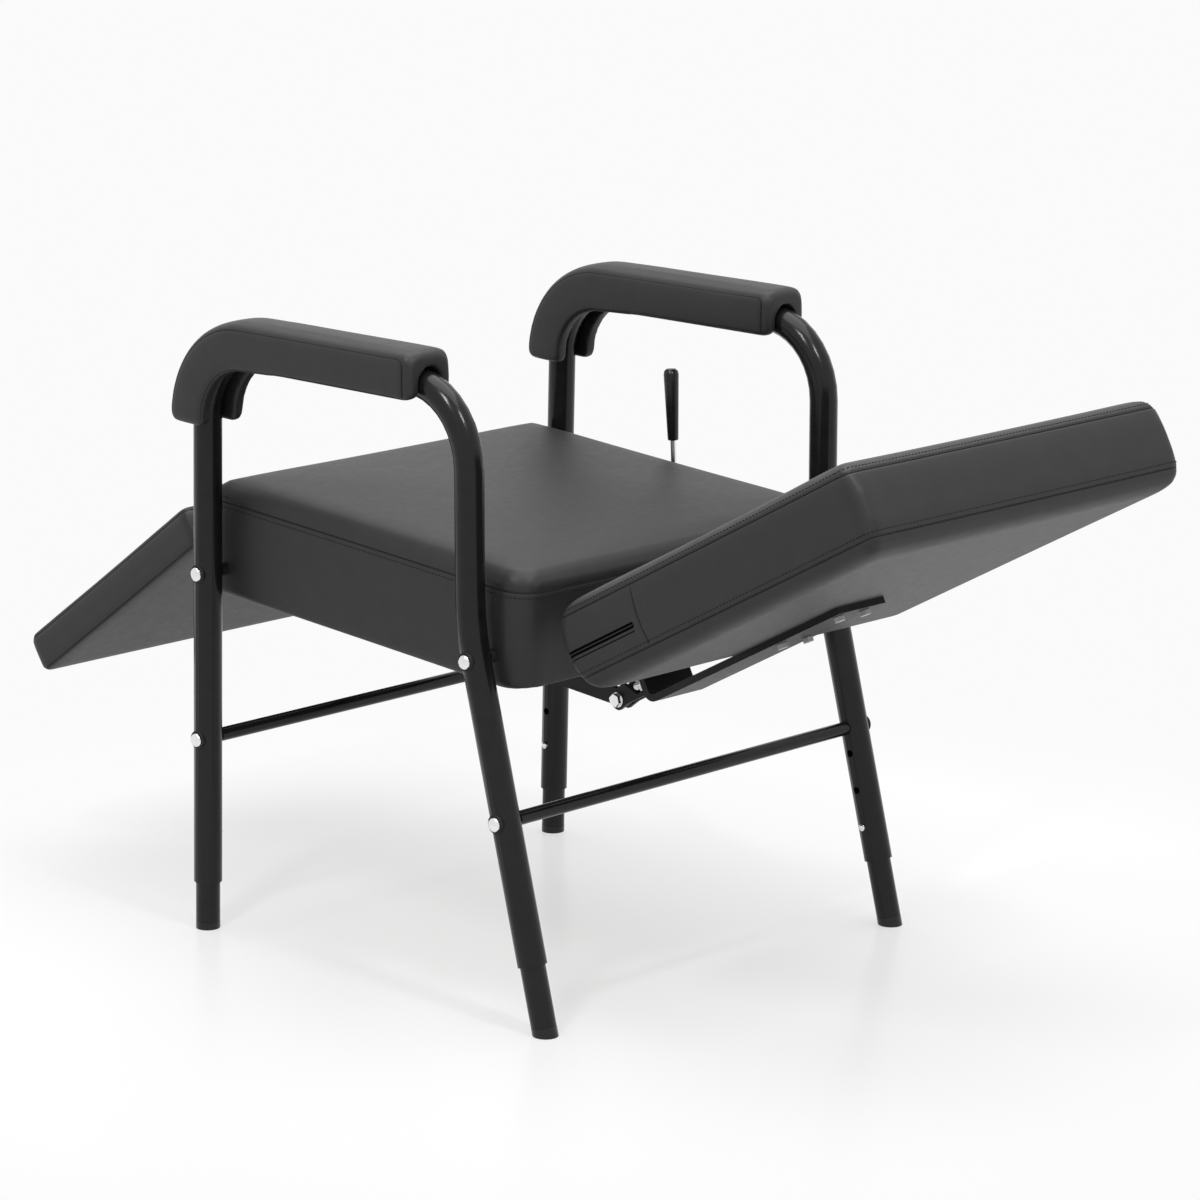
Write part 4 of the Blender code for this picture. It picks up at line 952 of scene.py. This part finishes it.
def legrest():
    """The legrest: a flat pad with a fine sewn line below and above."""
    base, thick = LEGREST_BASE, LEGREST_THICKNESS
    # Share of the thickness, and the inset all round
    shares = [
        (-0.070, 0.018),
        (-0.055, 0.008),
        (-0.030, 0.003),
        (0.010, 0.0005),
        (0.090, 0.000),
        (0.500, 0.000),
        (0.910, 0.000),
        (1.000, 0.0015),
        (1.060, 0.004),
        (1.100, 0.010),
    ]
    levels = [(base + up * thick, inset, inset, inset, LEGREST_DRAW) for up, inset in shares]
    half, low, high = LEGREST_HALF_WIDTH, LEGREST_LOW, LEGREST_HIGH
    shape = (half, low, high, LEGREST_CORNER, LEGREST_CROWN)
    made = cushion_piece("legrest_upholstery", LEGREST_PLACE, levels, *shape)
    hold = [share * thick for share in LEGREST_HOLD]
    soften(made, LEGREST_PLACE, held_below(base, hold), LEGREST_SWELL, LEGREST_VOXEL)
    lines = []
    for share in LEGREST_SEAMS:
        height = base + share * thick
        side, low_in, high_in, drawn = inset_at(levels, height)
        shape = (half - side, low + low_in, high - high_in, LEGREST_CORNER)
        lines.append(placed(LEGREST_PLACE, cushion_loop(*shape, height, drawn)))
    even_lines = [spaced(line, SEAM_PITCH, True) for line in lines]
    surface = surface_of(made)
    refine(made, even_lines)
    press_seams(made, even_lines, FINE_SEAM_DEPTH, FINE_SEAM_WIDTH)
    for label, line in zip(SEAM_LABELS, lines):
        seam_cord(f"legrest_{label}_seam", surface, line, "legrest", depth=FINE_SEAM_DEPTH)
    finish_cushion(made, "legrest", "legrest_cushion")


def pad_line():
    """Places and outward normals along the arm: up the front leg, round the bend, straight back."""
    up = Vector((math.sin(FRONT_LEG_LEAN), math.cos(FRONT_LEG_LEAN)))
    start = Vector((FRONT_FOOT_Y + PAD_LOWER_Z * math.tan(FRONT_LEG_LEAN), PAD_LOWER_Z))
    corner = Vector((FRONT_FOOT_Y + ARM_Z * math.tan(FRONT_LEG_LEAN), ARM_Z))
    turn = math.pi / 2 - FRONT_LEG_LEAN
    tangent = ARM_BEND_RADIUS * math.tan(turn / 2)
    bend_start = corner - up * tangent
    centre = bend_start + Vector((up.y, -up.x)) * ARM_BEND_RADIUS
    spots = []
    straight = (bend_start - start).length
    count = max(2, round(straight / PAD_LEG_STEP))
    for i in range(count):
        spots.append((start + up * (straight * i / count), Vector((-up.y, up.x))))
    for i in range(PAD_BEND_STEPS + 1):
        angle = math.pi - FRONT_LEG_LEAN - turn * i / PAD_BEND_STEPS
        out = Vector((math.cos(angle), math.sin(angle)))
        spots.append((centre + out * ARM_BEND_RADIUS, out))
    last = spots[-1][0]
    count = round((PAD_REAR_Y - last.x) / PAD_ARM_STEP)
    for i in range(1, count + 1):
        spots.append((last + Vector(((PAD_REAR_Y - last.x) * i / count, 0.0)), Vector((0.0, 1.0))))
    return spots


def pad_outline(above, below, wide):
    """U section: (across, out) points round the pad, with the tube's groove open below."""
    groove = TUBE_RADIUS + PAD_GROOVE_GAP
    corner = PAD_CORNER
    side = wide + PAD_SIDE_BULGE
    heights = [-below + PAD_LIP + (above + below - PAD_LIP - corner) * share for share in PAD_SIDE_SHARES]
    outline = arc((wide - PAD_LIP, -below + PAD_LIP), PAD_LIP, -90, 0, 4)
    outline += [(side, height) for height in heights]
    outline += arc((wide - corner, above - corner), corner, 0, 90, 8)
    for across in (0.5, 0.0, -0.5):
        outline.append((wide * across, above + PAD_CROWN * (1.0 - across * across)))
    outline += arc((corner - wide, above - corner), corner, 90, 180, 8)
    outline += [(-side, height) for height in reversed(heights)]
    outline += arc((PAD_LIP - wide, -below + PAD_LIP), PAD_LIP, 180, 270, 4)
    outline += [(-groove, -below)]
    outline += arc((0.0, 0.0), groove, 176, 4, 16)
    outline += [(groove, -below)]
    return outline


def arm_pad(label, sign):
    """An arm's pad round the tube, thicker toward the leg, with a sewn panel on each side."""
    x = sign * FRAME_X
    spots = pad_line()
    lengths = [0.0]
    for (spot, _), (after, _) in zip(spots, spots[1:]):
        lengths.append(lengths[-1] + (after - spot).length)
    total = lengths[-1]
    rings = []
    seam_lines = {1: [], -1: []}
    lip_lines = {1: [], -1: []}

    def beside(spot, out, across, up):
        return Vector((x + across, spot.x + out.x * up, spot.y + out.y * up))

    for (spot, out), length in zip(spots, lengths):
        toward_arm = min(1.0, length / total * 2.0)
        above = PAD_AHEAD_OF_LEG + (PAD_ABOVE_TUBE - PAD_AHEAD_OF_LEG) * toward_arm
        below = PAD_BEHIND_LEG + (PAD_BELOW_TUBE - PAD_BEHIND_LEG) * toward_arm
        edge = min(length, total - length)
        inset = 0.0
        if edge < PAD_ROUND_END:
            inset = PAD_END_INSET * (1.0 - math.sqrt(1.0 - (1.0 - edge / PAD_ROUND_END) ** 2))
        section = pad_outline(above - inset, below - inset, PAD_HALF_WIDTH - inset)
        rings.append([beside(spot, out, across, up) for across, up in section])
        if total - length > PAD_END_SEAM + PAD_SEAM_CORNER:
            for side in (1, -1):
                across = side * PAD_HALF_WIDTH
                seam_lines[side].append(beside(spot, out, across, above - PAD_SEAM_DROP))
                lip_lines[side].append(beside(spot, out, across, PAD_LIP_SEAM - below))
    for side in (1, -1):
        seam_lines[side] += pad_seam_corner(x + side * PAD_HALF_WIDTH)
    made = mesh_piece(f"{label}_arm_upholstery", *lofted(rings), FINISHES["black_leatherette"])
    tube_line = near_tree([(x, spot.x, spot.y) for spot, _ in spots])

    def held(local):
        away = np.array([tube_line.find(point)[2] for point in local])
        return 1.0 - smooth_step(away, TUBE_RADIUS + PAD_HOLD[0], TUBE_RADIUS + PAD_HOLD[1])

    soften(made, Matrix.Identity(4), held, PAD_SWELL, PAD_VOXEL)
    all_lines = [*seam_lines.values(), *lip_lines.values()]
    even_lines = [spaced(line, SEAM_PITCH, False) for line in all_lines]
    surface = surface_of(made)
    refine(made, even_lines, 1)
    press_seams(made, even_lines, FINE_SEAM_DEPTH, FINE_SEAM_WIDTH)
    cords = (("seam", seam_lines, CORD_RADIUS), ("lip_seam", lip_lines, PAD_LIP_SEAM_RADIUS))
    for side in (1, -1):
        which = "outer" if side == sign else "inner"
        for kind, lines, radius in cords:
            name = f"{label}_arm_{which}_{kind}"
            seam_cord(name, surface, lines[side], "chair", False, radius, FINE_SEAM_DEPTH)
    finish_cushion(made, "chair", f"{label}_arm_pad")


def pad_seam_corner(x):
    """The side panel's seam as it turns down before the pad's rear end."""
    rear, top = PAD_REAR_Y - PAD_END_SEAM, ARM_Z + PAD_ABOVE_TUBE - PAD_SEAM_DROP
    centre = (rear - PAD_SEAM_CORNER, top - PAD_SEAM_CORNER)
    line = [Vector((x, y, z)) for y, z in arc(centre, PAD_SEAM_CORNER, 90, 0, 8)]
    return line + [Vector((x, rear, ARM_Z)), Vector((x, rear, ARM_Z - PAD_BELOW_TUBE + PAD_LIP_SEAM))]


# Small fittings

def bolt_washers():
    """A dark washer under each dome-headed bolt on the side frames."""
    face = FRAME_X + TUBE_RADIUS
    along = Vector((0, 1, 0))
    up = Vector((0, 0, 1))
    for place in ("front_upper", "front_lower", "rear_upper", "rear_lower"):
        for label, sign in SIDES:
            low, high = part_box(f"{place}_{label}_bolt")
            y, z = (low.y + high.y) / 2, (low.z + high.z) / 2
            rings = []
            for radius, rise in WASHER_PROFILE:
                centre = Vector((sign * (face + rise), y, z))
                rings.append(ring_of(centre, along, up, radius, WASHER_SIDES))
            made = mesh_piece(f"{place}_{label}_washer", *lofted(rings, True), WASHER)
            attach(made, "chair")


def flange_nuts():
    """Plated washers, nuts and bolt ends on the front of the backrest bracket's flange."""
    # Radius, rise from the flange, and whether it is a hexagon
    profile = [
        (0.0092, 0.0, False), (0.0092, 0.0016, False), (0.0082, 0.0017, True), (0.0082, 0.0085, True),
        (0.0066, 0.0094, False), (0.0040, 0.0095, False), (0.0040, 0.0170, False), (0.0032, 0.0178, False),
    ]
    for label, sign in SIDES:
        centre = Vector((sign * FLANGE_NUT_X, FLANGE_FACE_Y, FLANGE_NUT_Z))
        rings = []
        for radius, rise, hexed in profile:
            ring = []
            for k in range(NUT_SIDES):
                angle = 2 * math.pi * k / NUT_SIDES
                part = (angle % HEXAGON_STEP) - HEXAGON_STEP / 2
                reach = radius * math.cos(HEXAGON_STEP / 2) / math.cos(part) if hexed else radius
                spot = Vector((reach * math.cos(angle), -rise, reach * math.sin(angle)))
                ring.append(BACK_PLACE @ (centre + spot))
            rings.append(ring)
        made = mesh_piece(f"bracket_nut_{label}", *lofted(rings), BRIGHT_ZINC)
        crisp = made.modifiers.new("crisp_edges", "EDGE_SPLIT")
        crisp.split_angle = CRISP_ANGLE
        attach(made, "back")


# Stage

def seen_white(tree, unseen):
    """A strength of BACKGROUND for the camera, reflections and clear views, and unseen for other rays."""
    path = tree.nodes.new("ShaderNodeLightPath")
    shown = path.outputs["Is Camera Ray"]
    for other in ("Is Glossy Ray", "Is Transmission Ray"):
        either = tree.nodes.new("ShaderNodeMath")
        either.operation = "MAXIMUM"
        tree.links.new(shown, either.inputs[0])
        tree.links.new(path.outputs[other], either.inputs[1])
        shown = either.outputs["Value"]
    strength = tree.nodes.new("ShaderNodeMapRange")
    strength.inputs["To Min"].default_value = unseen
    strength.inputs["To Max"].default_value = BACKGROUND
    tree.links.new(shown, strength.inputs["Value"])
    return strength.outputs["Result"]


def floor():
    """A pale floor that keeps soft shadows near the chair and fades to the background."""
    corners = ((-1, -1), (1, -1), (1, 1), (-1, 1))
    points = [Vector((x * FLOOR_REACH, y * FLOOR_REACH, -FLOOR_DROP)) for x, y in corners]
    made = Finish("pale_floor", 0.22, specular=0.25)
    made.shader.inputs["Base Color"].default_value = FLOOR_COLOUR
    tree = made.tree
    far = made.node("ShaderNodeVectorMath", Vector=made.coords)
    far.operation = "LENGTH"
    fade = made.node("ShaderNodeMapRange", Value=far.outputs["Value"])
    fade.interpolation_type = "SMOOTHSTEP"
    fade.inputs["From Min"].default_value, fade.inputs["From Max"].default_value = FLOOR_FADE
    fade.inputs["To Min"].default_value = FLOOR_LEAST_FADE
    white = made.node("ShaderNodeEmission", Strength=seen_white(tree, UNSEEN_LIGHT))
    mix = made.node("ShaderNodeMixShader", Fac=fade.outputs["Result"])
    tree.links.new(made.shader.outputs["BSDF"], mix.inputs[1])
    tree.links.new(white.outputs["Emission"], mix.inputs[2])
    tree.links.new(mix.outputs["Shader"], tree.nodes["Material Output"].inputs["Surface"])
    mesh_piece("floor", points, [(0, 1, 2, 3)], made.made)


def sky():
    """A soft even light, seen as the pale background by the camera and in reflections."""
    world = bpy.data.worlds.new("studio")
    world.use_nodes = True
    background = world.node_tree.nodes["Background"]
    background.inputs["Color"].default_value = (1.0, 1.0, 1.0, 1.0)
    strength = seen_white(world.node_tree, UNSEEN_LIGHT)
    world.node_tree.links.new(strength, background.inputs["Strength"])
    bpy.context.scene.world = world


def lamp(name, place, size, power):
    """A rectangular area lamp that faces the chair."""
    data = bpy.data.lights.new(name, "AREA")
    data.shape = "RECTANGLE"
    data.size, data.size_y = size
    data.energy = power
    made = bpy.data.objects.new(name, data)
    made.location = place
    made.rotation_euler = (CAMERA_TARGET - Vector(place)).to_track_quat("-Z", "Y").to_euler()
    bpy.context.scene.collection.objects.link(made)


def camera():
    """The photograph's camera."""
    data = bpy.data.cameras.new("photo_camera")
    data.lens = CAMERA_LENS
    data.sensor_width = SENSOR
    data.sensor_fit = "HORIZONTAL"
    data.clip_end = FAR_CLIP
    made = bpy.data.objects.new("photo_camera", data)
    made.location = CAMERA_EYE
    made.rotation_euler = (CAMERA_TARGET - CAMERA_EYE).to_track_quat("-Z", "Y").to_euler()
    bpy.context.scene.collection.objects.link(made)
    bpy.context.scene.camera = made


def main():
    dress_solids()
    seat()
    backrest()
    legrest()
    for label, sign in SIDES:
        arm_pad(label, sign)
    bolt_washers()
    flange_nuts()
    floor()
    sky()
    for name, place, size, power in LAMPS:
        lamp(name, place, size, power)
    camera()
    bpy.context.scene.view_settings.view_transform = "Standard"


main()
